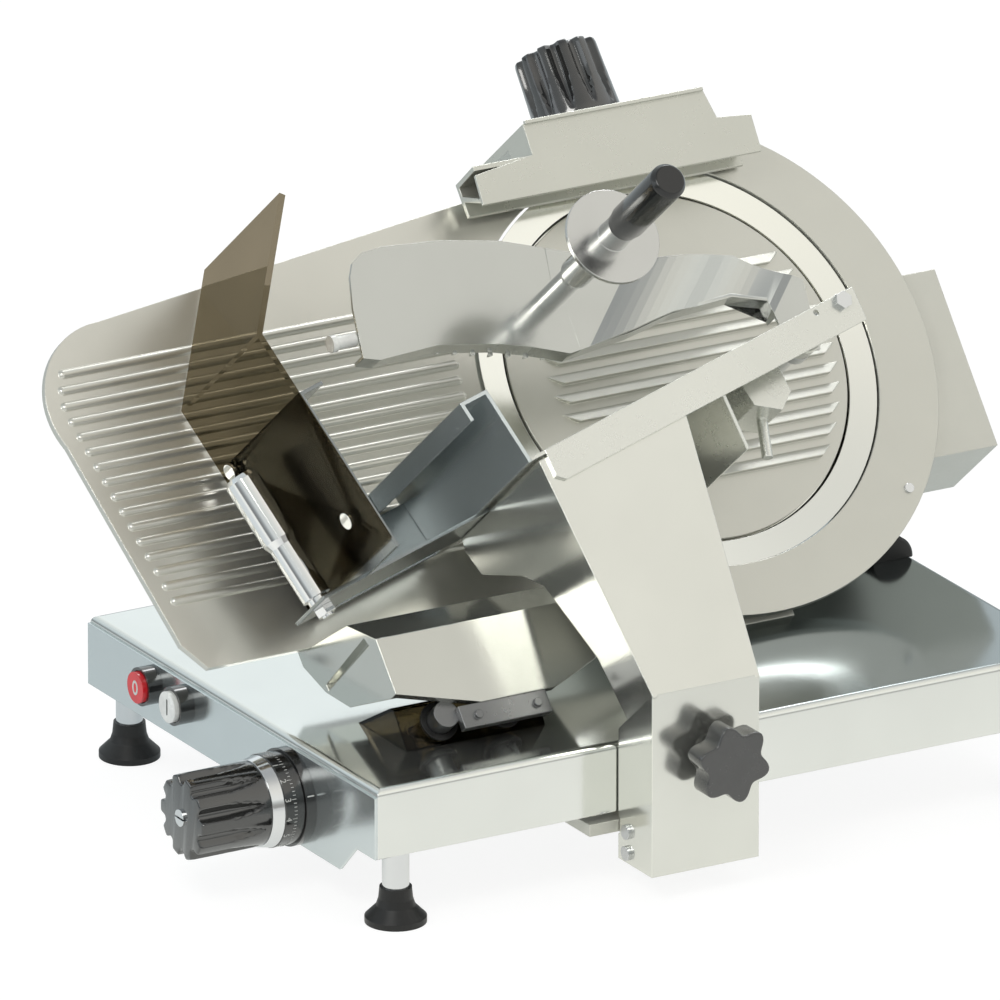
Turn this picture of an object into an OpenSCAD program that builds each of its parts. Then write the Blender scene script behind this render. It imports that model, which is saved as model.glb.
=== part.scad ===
// Gravity-feed meat slicer with a tilted round blade and a hand-pushed product carriage.
// X runs to the operator's right, Y away from the operator, Z up. The origin lies on the
// floor, under the middle of the whole machine.

/* [Base] */
// Width of the base across the machine
base_w = 466; // [440:2:500]
// Length of the base along the carriage travel
base_l = 645; // [600:5:700]
// Height of the folded base shell
base_h = 58; // [54:1:70]
// Clear height of the base above the floor
leg_h = 62; // [58:1:74]
// Sheet thickness of the base shell
sheet = 3; // [2:0.5:4]
// Radius of the folded edges of the base
fold_r = 6; // [4:1:9]
// Diameter of a rubber foot
foot_d = 50; // [44:1:58]
// Diameter of a metal foot leg
leg_d = 22; // [18:1:26]
// Distance from a side of the base to the middle of a foot
foot_in_x = 17; // [15:1:24]
// Distance from an end of the base to the middle of a foot
foot_in_y = 26; // [24:1:34]

/* [Controls] */
// Thickness of the front panel
panel_t = 2.5; // [2:0.5:4]
// Depth of the panel's tab below the base
tab_drop = 26; // [20:1:30]
// Width of the tab along its lower edge
tab_w = 153; // [130:1:170]
// Distance of the thickness knob from the arm side of the base
knob_in = 133; // [125:1:143]
// Height of the thickness knob's axis above the floor
knob_z = 74; // [70:1:80]
// Diameter of the knob's fixed flange
flange_d = 80; // [70:1:84]
// Diameter of the knob's dial
dial_d = 76; // [66:1:80]
// Length of the dial
dial_h = 18; // [15:1:24]
// Diameter of the fluted grip
grip_d = 73; // [62:1:78]
// Length of the fluted grip
grip_h = 64; // [50:1:72]
// Lobes around the fluted grip
grip_lobes = 10; // [8:1:12]
// Diameter of the shaft behind the thickness knob
shaft_d = 12; // [10:1:14]
// Distance of the stop button from the far side of the base
stop_in = 108; // [94:1:122]
// Distance between the two push buttons
button_gap = 52; // [44:1:60]
// Height of the push buttons above the floor
button_z = 96; // [90:1:100]
// Diameter of a push button's cap
button_d = 26; // [20:0.5:28]
// Travel of a push button
button_travel = 3.5; // [2:0.5:4]

/* [Blade] */
// Radius of the blade
blade_r = 175; // [165:1:178]
// Lean of the blade plane from the vertical, in degrees
tilt = 40; // [38:0.5:42]
// Distance of the blade centre from the arm side of the base
blade_in = 313; // [303:1:323]
// Blade centre, from the front of the base
blade_y = 458; // [440:1:470]
// Blade centre above the floor
blade_z = 299; // [297:1:315]
// Width of the bright bevel inside the blade's edge
bevel_w = 24; // [18:1:30]
// Running gap around the blade
blade_gap = 1; // [0.5:0.1:3]
// Outer radius of the ring guard
guard_r = 216.5; // [212:0.5:218]
// Outer radius of the spindle
spindle_r = 15; // [12:1:18]
// Depth of the blade housing behind its front plate
housing_d = 82; // [76:1:86]
// Wall of the blade housing
housing_t = 4; // [3:0.5:6]
// Reach of the rear box behind the blade centre
rear_l = 264; // [255:1:290]
// Spacing of the ribs on the blade cover
cover_pitch = 16.9; // [15:0.1:17.5]

/* [Gauge] */
// Thickness of the gauge plate under its ribs
gauge_t = 6; // [5:0.5:8]
// Height of the gauge plate's ribs
rib_h = 2.6; // [1:0.2:3]
// Spacing of the gauge plate's ribs
rib_pitch = 13.6; // [12:0.2:16]
// Largest slice thickness
gauge_travel = 14; // [10:1:15]
// Diameter of the two guide bars
bar_d = 22; // [18:1:24]
// Distance between the guide bars
bar_gap = 59; // [54:1:66]

/* [Carriage] */
// Turn of the product table in the blade plane, in degrees
skew = 15; // [12:0.5:18]
// Depth of the product table in front of the blade
table_d = 207; // [200:1:215]
// Length of the table's outer strip
strip_l = 327; // [315:1:335]
// Height of the table's outer strip
strip_h = 29; // [24:1:34]
// Thickness of the table sheet
table_t = 3; // [2:0.5:4]
// Height of the near wall above the table
wall_h = 65; // [50:1:72]
// Gap between the table and the blade plane
table_gap = 5.5; // [5:0.5:8]
// Reach of the carriage arm's outer face beyond the side of the base
arm_out = 55; // [51:1:61]
// Width of the carriage arm
arm_w = 98.5; // [90:0.5:110]
// Front edge of the carriage arm, from the front of the base
arm_y = 219.5; // [210:0.5:230]
// Sheet thickness of the carriage arm
arm_t = 4; // [3:0.5:5]
// Diameter of the carriage's guide rod
guide_d = 20; // [16:1:22]
// Thickness of the smoked hand guard
shield_t = 5; // [4:0.5:6]
// Width of the smoked hand guard
shield_w = 160; // [140:1:170]
// Height of the upright part of the hand guard
shield_h = 195; // [180:1:210]
// Length of the leaning part of the hand guard
shield_l = 128; // [110:1:150]
// Diameter of the push handle
handle_d = 30; // [26:1:34]

/* [Pusher] */
// Radius of the pusher's rod
rod_r = 8; // [6:0.5:9]
// Distance of the pusher plate from the blade plane
pusher_n = 125; // [118:1:130]
// Depth of the pusher plate's rim
rim_d = 18; // [14:1:22]
// Length of the pusher's handle rod
stem_l = 156; // [140:1:170]
// Radius of the round hand stop
stop_r = 40; // [34:1:46]
// Length of the black grip
pgrip_l = 95; // [85:1:110]

/* [Sharpener] */
// Width of the sharpener housing
sharp_w = 260; // [250:1:270]
// Radius of the sharpener knob
sknob_r = 37; // [32:1:41]
// Height of the sharpener knob
sknob_h = 64; // [58:1:70]
// Upward travel of the sharpener
sharp_lift = 25; // [15:1:30]

/* [Hidden] */
$fn = 48;
run_gap = 0.3;
fit_gap = 0.05;
top_z = leg_h + base_h;
right_x = base_w / 2;
knob_x = right_x - knob_in;
stop_x = stop_in - right_x;
blade_x = right_x - blade_in;
arm_x = right_x + arm_out;
hole_r = 11;
ct = cos(tilt);
st = sin(tilt);
cs = cos(skew);
ss = sin(skew);
// World X and Z of a point v up the blade plane and n out from it
function at_x(v, n) = blade_x - st * v + ct * n;
function at_z(v, n) = blade_z + ct * v + st * n;

// Knob stack, measured outward from the front panel
flange_h = 9;
dial_z = flange_h + run_gap;
ring_z = dial_z + dial_h;
ring_h = 10;
grip_z = ring_z + ring_h;
knob_end = grip_z + grip_h + 2;
cam_r = 24;
cam_y = 20;
cam_t = 8;
cam_n = ct * (knob_x - blade_x) + st * (knob_z - blade_z);
cam_v = ct * (knob_z - blade_z) - st * (knob_x - blade_x);
pin_n = cam_n + cam_r + 4.45;

// Blade, measured out from the blade plane
dish_n = -7;
back_n = -11;
plate_n = -14;
plate_t = 4;
housing_n = plate_n - plate_t - housing_d;
front_n = 3;
guard_n = -3;
guard_dy = 10.9;
guard_dv = -4;
screw_r = 204;
split_y = -58;
rib_v = -9.5;
box_v0 = -114;
box_v1 = 43;
cup_r = 120;
cover_r = blade_r - bevel_w - blade_gap;
pulley_r = 48;
pulley_n = -44;
pulley_h = 20;
motor_y = 190;
motor_v = -36;
motor_r = 50;
small_r = 18;
belt_t = 3;

// Gauge, in the blade frame
bar_r = bar_d / 2;
bar_v = -278;
bar_y0 = -360;
bar_n0 = 0;
bar_n1 = 96;
lip_n = 104;
gauge_right = split_y - 4;
gauge_low = -172;
field_v0 = -112;
rib_count = floor(212 / rib_pitch) + 1;
rib_r = (gauge_t + rib_h) / 2 - 0.1;

// Table, in the table frame: w along the strip, v up, n out from the blade
floor_v = -42;
strip_w0 = -278;
strip_w1 = strip_w0 + strip_l;
floor_w0 = -293;
floor_w1 = strip_w1 - 34;
rod_w = strip_w1 - 16;
rod_v = -49;
lip_w = 28;
shield_x = -421;
shield_v0 = -40;
shield_n0 = 5;
shield_lean = 44;
plate_back = shield_x + shield_t;
handle_x = -445;
handle_n = 66;
tongue_n0 = 40;
tongue_n1 = 98;
screw_places = [[90, 21], [-6, 131]];

// Arm
arm_n = table_d - table_t;
bend_z = (arm_n - ct * (arm_x - blade_x)) / st + blade_z;
bend_v = -st * (arm_x - blade_x) + ct * (bend_z - blade_z);
arm_f = arm_y - blade_y;
arm_b = arm_f + arm_w;
arm_low = 23;
arm_in = right_x + 2;
arm_screw_x = right_x + 17;
arm_screw_z = [50, 32];
block_y = arm_y + 25;
block_l = 48;
guide_x = right_x - 43;
guide_z = leg_h + 22;
roller_r = 10;
rail_z = leg_h + 26;
bar_z = leg_h - 18;
slot_x = right_x - 68;
// Front end and middle of the cable cover on the base's top
gland_x = right_x - 253;
gland_y = base_l - 20;
gland_r = 20;
knob_y = arm_y + 57;
lock_z = 119;
lock_x = arm_x + 12;
lock_t = 22;
lock_r = 33;

// Pusher, in the blade frame
hub_y = rod_w * cs - rod_v * ss;
hub_v = rod_w * ss + rod_v * cs;
drawn_y = 44.557;
drawn_v = -38.789;
hub_r = rod_r + 5;
hub_n0 = pusher_n - 8;
hub_n1 = pusher_n + 18;
stem_y = -163;
stem_v = 35;
plate_y = -150;

// Sharpener, in the blade frame
sharp_n = 45;
sharp_y0 = -145;
sharp_top = 211;
post_y = 2;
post_n = -22;
post_r = 9;
tower_v = 223;
stone_v = 196;
sknob_v = tower_v + run_gap;
flat_v = 200;
skirt_h = 9;

// The whole machine's middle, from the base frame
mid_x = (lock_x + lock_t + at_x(sknob_v + sknob_h, post_n - sknob_r)) / 2;
mid_y = (blade_y + rear_l - panel_t - knob_end) / 2;

module placed() translate([-mid_x, -mid_y, 0]) children();
module on_blade() placed() translate([blade_x, blade_y, blade_z]) rotate([0, 90 - tilt, 0])
    rotate([0, 0, 90]) children();
module on_table() on_blade() rotate([0, 0, skew]) children();
// The pusher keeps its shape and follows its rod
module on_pusher() on_blade() translate([hub_y - drawn_y, hub_v - drawn_v, 0]) children();
module on_panel(x, z) placed() translate([x, -panel_t, z]) rotate([90, 0, 0]) children();

// A flat outline drawn in X and Z, given a length along Y
module prism_y(y0, l) translate([0, y0 + l, 0]) rotate([90, 0, 0]) linear_extrude(l) children();
// A flat outline drawn in Y and Z, given a length along X
module prism_x(x0, l) translate([x0, 0, 0]) rotate([90, 0, 90]) linear_extrude(l) children();
// A flat outline given a thickness along Z
module slab(z0, h) translate([0, 0, z0]) linear_extrude(h) children();
module rod_z(x, y, z0, h, r) translate([x, y, z0]) cylinder(h = h, r = r);
module rod_y(x, z, y0, l, r) translate([x, y0, z]) rotate([-90, 0, 0]) cylinder(h = l, r = r);
module rod_x(y, z, x0, l, r) translate([x0, y, z]) rotate([0, 90, 0]) cylinder(h = l, r = r);
module block(x0, x1, y0, y1, z0, z1) translate([x0, y0, z0]) cube([x1 - x0, y1 - y0, z1 - z0]);
module tube(z0, h, r1, r0) difference() {
    rod_z(0, 0, z0, h, r1);
    rod_z(0, 0, z0 - 1, h + 2, r0);
}

// An outline that is square at the foot and round at its two top corners
module top_round(w, h, r) {
    translate([-w / 2, 0]) square([w, h - r]);
    translate([r - w / 2, 0]) square([w - 2 * r, h]);
    for (side = [-1, 1]) translate([side * (w / 2 - r), h - r]) circle(r);
}

module base_body(inset, z0) intersection() {
    translate([0, 0, z0]) prism_y(inset, base_l - 2 * inset)
        top_round(base_w - 2 * inset, top_z - inset - z0, fold_r - inset / 2);
    translate([0, base_l / 2, z0]) prism_x(-base_w / 2, base_w)
        top_round(base_l - 2 * inset, top_z - inset - z0, fold_r - inset / 2);
}

module bar_holes(r, n0, n1) {
    for (i = [0, 1]) rod_z(bar_y0 + i * bar_gap, bar_v, n0, n1 - n0, r);
}

module foot_places() {
    for (x = [-1, 1], y = [0, 1])
        translate([x * (base_w / 2 - foot_in_x), foot_in_y + y * (base_l - 2 * foot_in_y), 0]) children();
}

module base_shell() color([0.88, 0.9, 0.88]) difference() {
    placed() base_body(0, leg_h);
    placed() base_body(sheet, leg_h - 1);
    on_panel(knob_x, knob_z) rod_z(0, 0, -sheet - panel_t - 1, sheet + panel_t + 2, shaft_d / 2 + 2);
    for (x = [stop_x, stop_x + button_gap])
        on_panel(x, button_z) rod_z(0, 0, -sheet - panel_t - 1, sheet + panel_t + 2, hole_r);
    on_blade() bar_holes(bar_r + 2, 20, 80);
}

module base_plate() color([0.55, 0.57, 0.58]) placed() difference() {
    block(sheet - base_w / 2, base_w / 2 - sheet, sheet, base_l - sheet, leg_h, leg_h + sheet);
    block(knob_x - 60, knob_x + 60, sheet - 1, 70, leg_h - 1, leg_h + sheet + 1);
    block(slot_x, base_w / 2, 39, base_l - 39, leg_h - 1, leg_h + sheet + 1);
    foot_places() rod_z(0, 0, leg_h - 1, sheet + 2, 5);
}

module control_panel() color([0.7, 0.74, 0.74]) difference() {
    placed() prism_y(-panel_t, panel_t) polygon([[-base_w / 2, leg_h],
        [knob_x - tab_w / 2 - tab_drop, leg_h], [knob_x - tab_w / 2, leg_h - tab_drop],
        [knob_x + tab_w / 2, leg_h - tab_drop], [knob_x + tab_w / 2 + tab_drop, leg_h],
        [base_w / 2, leg_h], [base_w / 2, top_z - fold_r], [-base_w / 2, top_z - fold_r]]);
    on_panel(knob_x, knob_z) rod_z(0, 0, -panel_t - 1, panel_t + 2, shaft_d / 2 + 2);
    for (x = [stop_x, stop_x + button_gap])
        on_panel(x, button_z) rod_z(0, 0, -panel_t - 1, panel_t + 2, hole_r);
}

module foot_pads() color([0.06, 0.06, 0.06]) placed() foot_places() rotate_extrude()
    polygon([[0, 0], [foot_d / 2, 0], [foot_d / 2, 5], [foot_d / 2 - 4, 9], [leg_d / 2 + 5, 14],
        [leg_d / 2 + 3, 20], [leg_d / 2 + 2, 30], [leg_d / 2, 30], [leg_d / 2, 22], [0, 22]]);

module foot_legs() color([0.75, 0.77, 0.78]) placed() foot_places() {
    rod_z(0, 0, 22, leg_h - 22, leg_d / 2);
    rod_z(0, 0, leg_h - 1, sheet + 9, 5);
}

module thickness_flange() color([0.05, 0.05, 0.05]) on_panel(knob_x, knob_z)
    tube(0, flange_h, flange_d / 2, shaft_d / 2 + fit_gap);

module thickness_dial() color([0.08, 0.08, 0.08]) on_panel(knob_x, knob_z) difference() {
    union() {
        rod_z(0, 0, dial_z, dial_h - 1, dial_d / 2);
        translate([0, 0, ring_z - 1]) cylinder(h = 1, r1 = dial_d / 2, r2 = dial_d / 2 - 1);
    }
    rod_z(0, 0, dial_z - 1, dial_h + 2, shaft_d / 2);
}

// A round core with round lobes set around it
module lobed(core_r, out_r, count, lobe_r) {
    circle(core_r);
    for (i = [0:count - 1]) rotate(i * 360 / count) translate([out_r - lobe_r, 0]) circle(lobe_r);
}

module thickness_grip() color([0.07, 0.07, 0.07]) on_panel(knob_x, knob_z) difference() {
    union() {
        rod_z(0, 0, grip_z, 9, grip_d / 2 - 1);
        slab(grip_z + 8, grip_h - 8) lobed(grip_d / 2 - 6, grip_d / 2, grip_lobes, 7.5);
    }
    rod_z(0, 0, grip_z - 1, grip_h - 7, shaft_d / 2);
    rod_z(0, 0, grip_z + grip_h - 8, 9, 7);
}

// The shaft carries the bright ring and the slotted head outside, and inside the base a snail cam
// that lets the gauge plate move back as the knob turns
module thickness_shaft() color([0.8, 0.8, 0.8]) {
    on_panel(knob_x, knob_z) difference() {
        union() {
            rod_z(0, 0, -panel_t - cam_y - cam_t, panel_t + cam_y + cam_t + grip_z + grip_h - 7,
                shaft_d / 2);
            translate([0, 0, ring_z]) cylinder(h = ring_h, r1 = dial_d / 2 - 0.5, r2 = grip_d / 2 - 1);
            rod_z(0, 0, grip_z + grip_h - 8, 10, 7);
        }
        translate([-8, -0.9, grip_z + grip_h]) cube([16, 1.8, 3]);
    }
    placed() translate([knob_x, cam_y + cam_t, knob_z]) rotate([90, 0, 0]) linear_extrude(cam_t)
        rotate(tilt) polygon([for (i = [0:30]) (cam_r - gauge_travel * i / 30)
            * [cos(-300 * i / 30), sin(-300 * i / 30)]]);
}

module button_bezels() color([0.05, 0.05, 0.05]) for (x = [stop_x, stop_x + button_gap])
    on_panel(x, button_z) tube(0, 13, button_d / 2 + 3, button_d / 2 + 0.5);

module switch_bodies() color([0.2, 0.2, 0.22]) for (x = [stop_x, stop_x + button_gap])
    on_panel(x, button_z) difference() {
        translate([-14, -14, -panel_t - sheet - 30]) cube([28, 28, 30]);
        rod_z(0, 0, -panel_t - sheet - 14, 15, 8.4);
    }

module button_cap() difference() {
    union() {
        rod_z(0, 0, 5, 12, button_d / 2);
        rod_z(0, 0, -panel_t - sheet - 5, panel_t + sheet + 11, 8);
    }
}

module stop_button() color([0.86, 0.16, 0.18]) on_panel(stop_x, button_z) button_cap();

module start_button() color([0.95, 0.95, 0.94]) on_panel(stop_x + button_gap, button_z) button_cap();

// The gauge plate's outline: u along Y and v up, from the blade centre
module gauge_outline() difference() {
    union() {
        polygon([[-496, gauge_low], [-513, -149], [-557, 60], [-487, 60], [-487, 130],
            [gauge_right, 130 + 0.115 * (487 + gauge_right)], [gauge_right, gauge_low]]);
        translate([-487, 60]) circle(70);
    }
    circle(blade_r + 2 * blade_gap);
}

function gauge_left(v) = v < 60 ? -513 - 44 * (v + 149) / 209 : -487 - sqrt(4900 - (v - 60) * (v - 60));
function gauge_end(v) = -sqrt(pow(blade_r + 21, 2) - v * v);

module gauge_plate() color([0.76, 0.76, 0.72]) on_blade() {
    slab(-gauge_t - rib_h, gauge_t) gauge_outline();
    for (i = [0:rib_count - 1]) let (v = field_v0 + i * rib_pitch, r = rib_r,
        a = gauge_left(v) + 16, b = gauge_end(v)) {
        translate([a, v, -r]) rotate([0, 90, 0]) cylinder(h = b - a, r = r);
        translate([a, v, -r]) sphere(r);
        translate([b, v, -r]) sphere(r);
    }
}

module gauge_bracket() color([0.74, 0.75, 0.73]) on_blade() difference() {
    intersection() {
        prism_x(-405, 186) polygon([[-100, -gauge_t - rib_h], [-100, -24], [-180, -24], [-211, -3],
            [-236, 26], [-257, bar_n1], [-276, bar_n1], [-276, lip_n], [-208, lip_n],
            [-181, 67], [gauge_low, 0], [gauge_low, -gauge_t - rib_h]]);
        slab(-40, 160) polygon([[-405, -60], [-226, -60], [-219, -259], [-263, -276], [-331, -276],
            [-402, -256]]);
    }
    prism_x(-406, 12) polygon([[-212, 2], [-206, 2], [-200, 86], [-208, 90]]);
    bar_holes(bar_r, bar_n0, bar_n1);
}

module gauge_bars() color([0.8, 0.81, 0.82]) on_blade() bar_holes(bar_r, bar_n0, bar_n1);

module bar_clamp() color([0.45, 0.46, 0.47]) on_blade() {
    difference() {
        block(-352, -272, -295, -276, bar_n1 - 1, lip_n - 1);
        bar_holes(bar_r, bar_n0, bar_n1);
    }
    for (y = [-337, -283]) rod_z(y, -286, lip_n - 2, 4, 3.5);
}

module gauge_fork() color([0.5, 0.5, 0.52]) on_blade() {
    difference() {
        union() {
            block(-425, -288, -286, -268, bar_n0, bar_n0 + 7);
            block(-425, -415, cam_v - 6, cam_v + 6, bar_n0, pin_n + 5);
        }
        bar_holes(bar_r, -1, 30);
    }
    translate([-438, cam_v, pin_n]) rotate([0, 90, 0]) cylinder(h = 14, r = 4);
}

module gauge_guide_block() color([0.35, 0.37, 0.38]) difference() {
    union() {
        on_blade() block(bar_y0 - 20, bar_y0 + bar_gap + 20, -292, -266, 10, 30);
        placed() block(knob_x + 4, knob_x + 28, blade_y + bar_y0 - 20, blade_y + bar_y0 + bar_gap + 20,
            leg_h + sheet, 96);
    }
    on_blade() bar_holes(bar_r + fit_gap, -20, 60);
    on_blade() block(bar_y0 - 30, bar_y0 + bar_gap + 30, -310, -260, -30, 10);
}

module bar_grommets() color([0.1, 0.1, 0.1]) on_blade() difference() {
    union() {
        bar_holes(bar_r + 3, 73, 80.5);
        bar_holes(bar_r + 5, 78, 80.5);
    }
    bar_holes(bar_r + 0.4, 65, 85);
}

module gauge_shroud() color([0.33, 0.25, 0.16]) difference() {
    shroud_y = blade_y - 394;
    placed() prism_y(shroud_y, 127) polygon([[right_x - 65, top_z], [right_x - 87, top_z + 28.5],
        [right_x - 92, top_z + 28.5], [right_x - 143, top_z]]);
    placed() prism_y(shroud_y + 2.5, 122) polygon([[right_x - 67.5, top_z - 1], [right_x - 89, top_z + 26],
        [right_x - 91, top_z + 26], [right_x - 139.5, top_z - 1]]);
    on_blade() bar_holes(bar_r + 3, 30, 90);
}

module blade() color([0.93, 0.94, 0.94]) on_blade() difference() {
    rotate_extrude($fn = 96) polygon([[20, back_n], [blade_r - bevel_w - 2, back_n],
        [blade_r - 1, -1.6], [blade_r, -0.7], [blade_r, 0], [blade_r - bevel_w + 1.5, -3],
        [blade_r - bevel_w, dish_n], [20, dish_n]]);
    for (i = [0:3]) rotate(45 + 90 * i) rod_z(28, 0, back_n - 1, 6, 3);
}

module blade_screws() color([0.7, 0.7, 0.72]) on_blade() for (i = [0:3]) rotate(45 + 90 * i) {
    rod_z(28, 0, back_n - 2, 5, 3);
    rod_z(28, 0, dish_n, 1.6, 6);
}

module blade_spindle() color([0.6, 0.6, 0.62]) on_blade() difference() {
    union() {
        rod_z(0, 0, housing_n + 3, back_n - housing_n - 3, spindle_r);
        rod_z(0, 0, back_n - 2.7, 2.7, 36);
        rod_z(0, 0, back_n - 1, dish_n - back_n + 1, 20);
    }
    rod_z(0, 0, housing_n, 100, 8);
    for (i = [0:3]) rotate(45 + 90 * i) rod_z(28, 0, back_n - 3, 4, 3);
}

module driven_pulley() color([0.72, 0.73, 0.74]) on_blade() tube(pulley_n, pulley_h, pulley_r, spindle_r);

module spindle_bearings() color([0.62, 0.63, 0.65]) on_blade() for (n = [-60, housing_n + 2])
    tube(n, 12, 28, spindle_r + fit_gap);

// One rib of the cover: a long blade in plan, standing highest along its lower edge
module cover_rib(l, w, h) prism_x(-l / 2, l) polygon([[-w / 2, -1], [-w / 2, h], [w / 2, 0.6], [w / 2, -1]]);

module blade_cover() color([0.8, 0.79, 0.74]) on_blade() {
    rod_z(0, 0, -5, 2.5, cover_r);
    rod_z(0, 0, housing_n - 22, -4 - housing_n + 22, 6);
    for (i = [-5:5]) let (v = i * cover_pitch + rib_v, l = 2 * sqrt(pow(cover_r - 4, 2) - v * v) - 30)
        translate([14, v, -2.6]) intersection() {
            cover_rib(l, 9, 5);
            translate([0, 0, -1]) linear_extrude(10) polygon([[-l / 2, 4.5], [l / 2, 4.5], [l / 2 - 12, -4.5],
                [12 - l / 2, -4.5]]);
        }
}

module cover_knob() color([0.07, 0.07, 0.07]) on_blade() difference() {
    slab(housing_n - 38, 34) lobed(16, 20, 6, 6);
    rod_z(0, 0, housing_n - 22, 30, 6);
}

module guard_side() translate([split_y, -400, 0]) square([800, 800]);

module ring_guard() color([0.79, 0.78, 0.73]) on_blade() difference() {
    slab(guard_n, front_n - guard_n) difference() {
        intersection() {
            translate([guard_dy, guard_dv]) circle(guard_r, $fn = 120);
            guard_side();
        }
        circle(blade_r + blade_gap, $fn = 120);
        translate([-300, flat_v]) square([600, 100]);
    }
}

module ring_guard_screws() color([0.75, 0.76, 0.77]) on_blade() for (a = [-42, 62, 100])
    rod_z(guard_dy + screw_r * cos(a), guard_dv + screw_r * sin(a), front_n, 1.6, 4);

module housing_outline(grow) {
    circle(cup_r + grow);
    translate([0, box_v0 - grow]) square([rear_l + grow, box_v1 - box_v0 + 2 * grow]);
}

module blade_housing() color([0.72, 0.73, 0.7]) difference() {
    union() {
        on_blade() slab(plate_n - plate_t, plate_t) {
            circle(blade_r - 3);
            housing_outline(0);
        }
        on_blade() slab(plate_n - plate_t, guard_n - plate_n + plate_t) difference() {
            intersection() {
                translate([guard_dy, guard_dv]) circle(guard_r - 12);
                guard_side();
            }
            circle(blade_r + blade_gap);
            translate([-300, flat_v]) square([600, 100]);
        }
        on_blade() slab(housing_n - housing_t, housing_d + housing_t + 1) housing_outline(0);
        on_blade() rod_z(0, 0, housing_n - 1, housing_d - 28, 34);
        intersection() {
            on_blade() block(-14, 33, -260, -60, housing_n, plate_n - 1);
            placed() block(-300, 300, 0, 900, top_z, 400);
        }
    }
    on_blade() difference() {
        slab(housing_n, housing_d) housing_outline(-housing_t);
        rod_z(0, 0, housing_n - 1, housing_d - 28, 34);
    }
    on_blade() rod_z(0, 0, housing_n + 2, housing_d - 26, 28);
    on_blade() rod_z(0, 0, housing_n - housing_t - 1, 12, 7);
    on_blade() rod_z(0, 0, plate_n - plate_t - 1, plate_t + 2, spindle_r + 2);
}

module motor() color([0.3, 0.32, 0.34]) on_blade() translate([motor_y, motor_v]) {
    difference() {
        rod_z(0, 0, housing_n, pulley_n - housing_n - 2, motor_r);
        rod_z(0, 0, housing_n + 10, 60, 7 + fit_gap);
    }
}

module motor_pulley() color([0.7, 0.7, 0.72]) on_blade() translate([motor_y, motor_v]) {
    rod_z(0, 0, pulley_n, pulley_h, small_r);
    rod_z(0, 0, housing_n + 11, pulley_n - housing_n - 10, 7);
}

// The outline of a loop drawn tight round the two pulleys
module loop_outline(grow) {
    d = sqrt(motor_y * motor_y + motor_v * motor_v);
    a = acos((pulley_r - small_r) / d);
    r1 = pulley_r + grow;
    r2 = small_r + grow;
    rotate(atan2(motor_v, motor_y)) {
        circle(r1);
        translate([d, 0]) circle(r2);
        polygon([r1 * [cos(a), sin(a)], [d + r2 * cos(a), r2 * sin(a)], [d + r2 * cos(a), -r2 * sin(a)],
            r1 * [cos(a), -sin(a)]]);
    }
}

module drive_belt() color([0.08, 0.08, 0.08]) on_blade() slab(pulley_n + 3, pulley_h - 6) difference() {
    loop_outline(run_gap + belt_t);
    loop_outline(run_gap + 0.1);
}

// A half-round black cover over the cable entry, lying along X at the rear edge
module cable_gland() color([0.05, 0.05, 0.05]) placed() translate([gland_x, gland_y, top_z])
    rotate([0, -90, 0]) difference() {
        union() {
            cylinder(h = 2, r1 = gland_r - 2, r2 = gland_r);
            translate([0, 0, 2]) cylinder(h = 38, r = gland_r);
            translate([0, 0, 40]) cylinder(h = 6, r1 = gland_r, r2 = gland_r - 6);
        }
        translate([-30, -30, -1]) cube([30, 60, 50]);
        translate([8, 0, 20]) cylinder(h = 30, r = 5);
    }

module sharpener_post() color([0.6, 0.6, 0.62]) on_blade() {
    block(post_y - 14, post_y + 14, 150, flat_v, plate_n - plate_t - 38, plate_n - plate_t);
    block(post_y - 14, post_y + 14, flat_v, flat_v + 4, plate_n - plate_t - 38, -4);
    translate([post_y, flat_v, post_n]) rotate([-90, 0, 0]) cylinder(h = 62, r = post_r);
}

module sharpener_housing() color([0.77, 0.77, 0.74]) on_blade() difference() {
    y0 = sharp_y0;
    y1 = sharp_y0 + sharp_w;
    union() {
        for (y = [-32, 34]) {
            rod_z(y, stone_v, 12, sharp_n - 14, 4);
            rod_z(y, stone_v, 22.3, sharp_n - 25, 6);
            rod_z(y, stone_v, 11.7, 2, 6);
        }
        slab(sharp_n - 3, 3) polygon([[y0 + 2, 176], [y0, 150], [y1, 151], [y1 + 2, 183], [y1 - 29, 186],
            [y1 - 33, sharp_top], [y0 + 59, sharp_top], [y0 + 58, 184]]);
        block(y0 + 59, y1 - 33, sharp_top - 3, sharp_top, -85, sharp_n);
        for (y = [y0 + 59, y1 - 36]) {
            block(y, y + 3, 204, sharp_top, -85, sharp_n - 1);
            block(y, y + 3, 184, 205, 8, sharp_n - 1);
        }
        prism_x(y0 + 3, sharp_w - 4) polygon([[183, 7], [184, sharp_n - 1], [180, sharp_n - 1], [179, 11],
            [171, 11], [155, sharp_n - 1], [151, sharp_n - 1], [166, 11], [153, 11], [153, 7]]);
        translate([post_y, sharp_top - 3, post_n]) rotate([-90, 0, 0])
            cylinder(h = tower_v - sharp_top + 3, r = 22);
        block(y0 + 60, y1 - 34, sharp_top - 1, sharp_top + 2, sharp_n, sharp_n + 3);
    }
    translate([post_y, 200, post_n]) rotate([-90, 0, 0]) cylinder(h = 60, r = post_r + fit_gap);
}

module sharpener_knob() color([0.07, 0.07, 0.07]) on_blade() translate([post_y, sknob_v, post_n])
    rotate([-90, 0, 0]) difference() {
        union() {
            cylinder(h = skirt_h, r = sknob_r - 1);
            translate([0, 0, skirt_h - 1]) linear_extrude(sknob_h - skirt_h + 1)
                lobed(sknob_r - 6, sknob_r, 12, 6);
        }
        translate([0, 0, -1]) cylinder(h = flat_v + 69 - sknob_v, r = post_r + 0.6);
    }

module stone(y, r) on_blade() translate([y, stone_v]) tube(14, 8, r, 4 + fit_gap);

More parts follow.
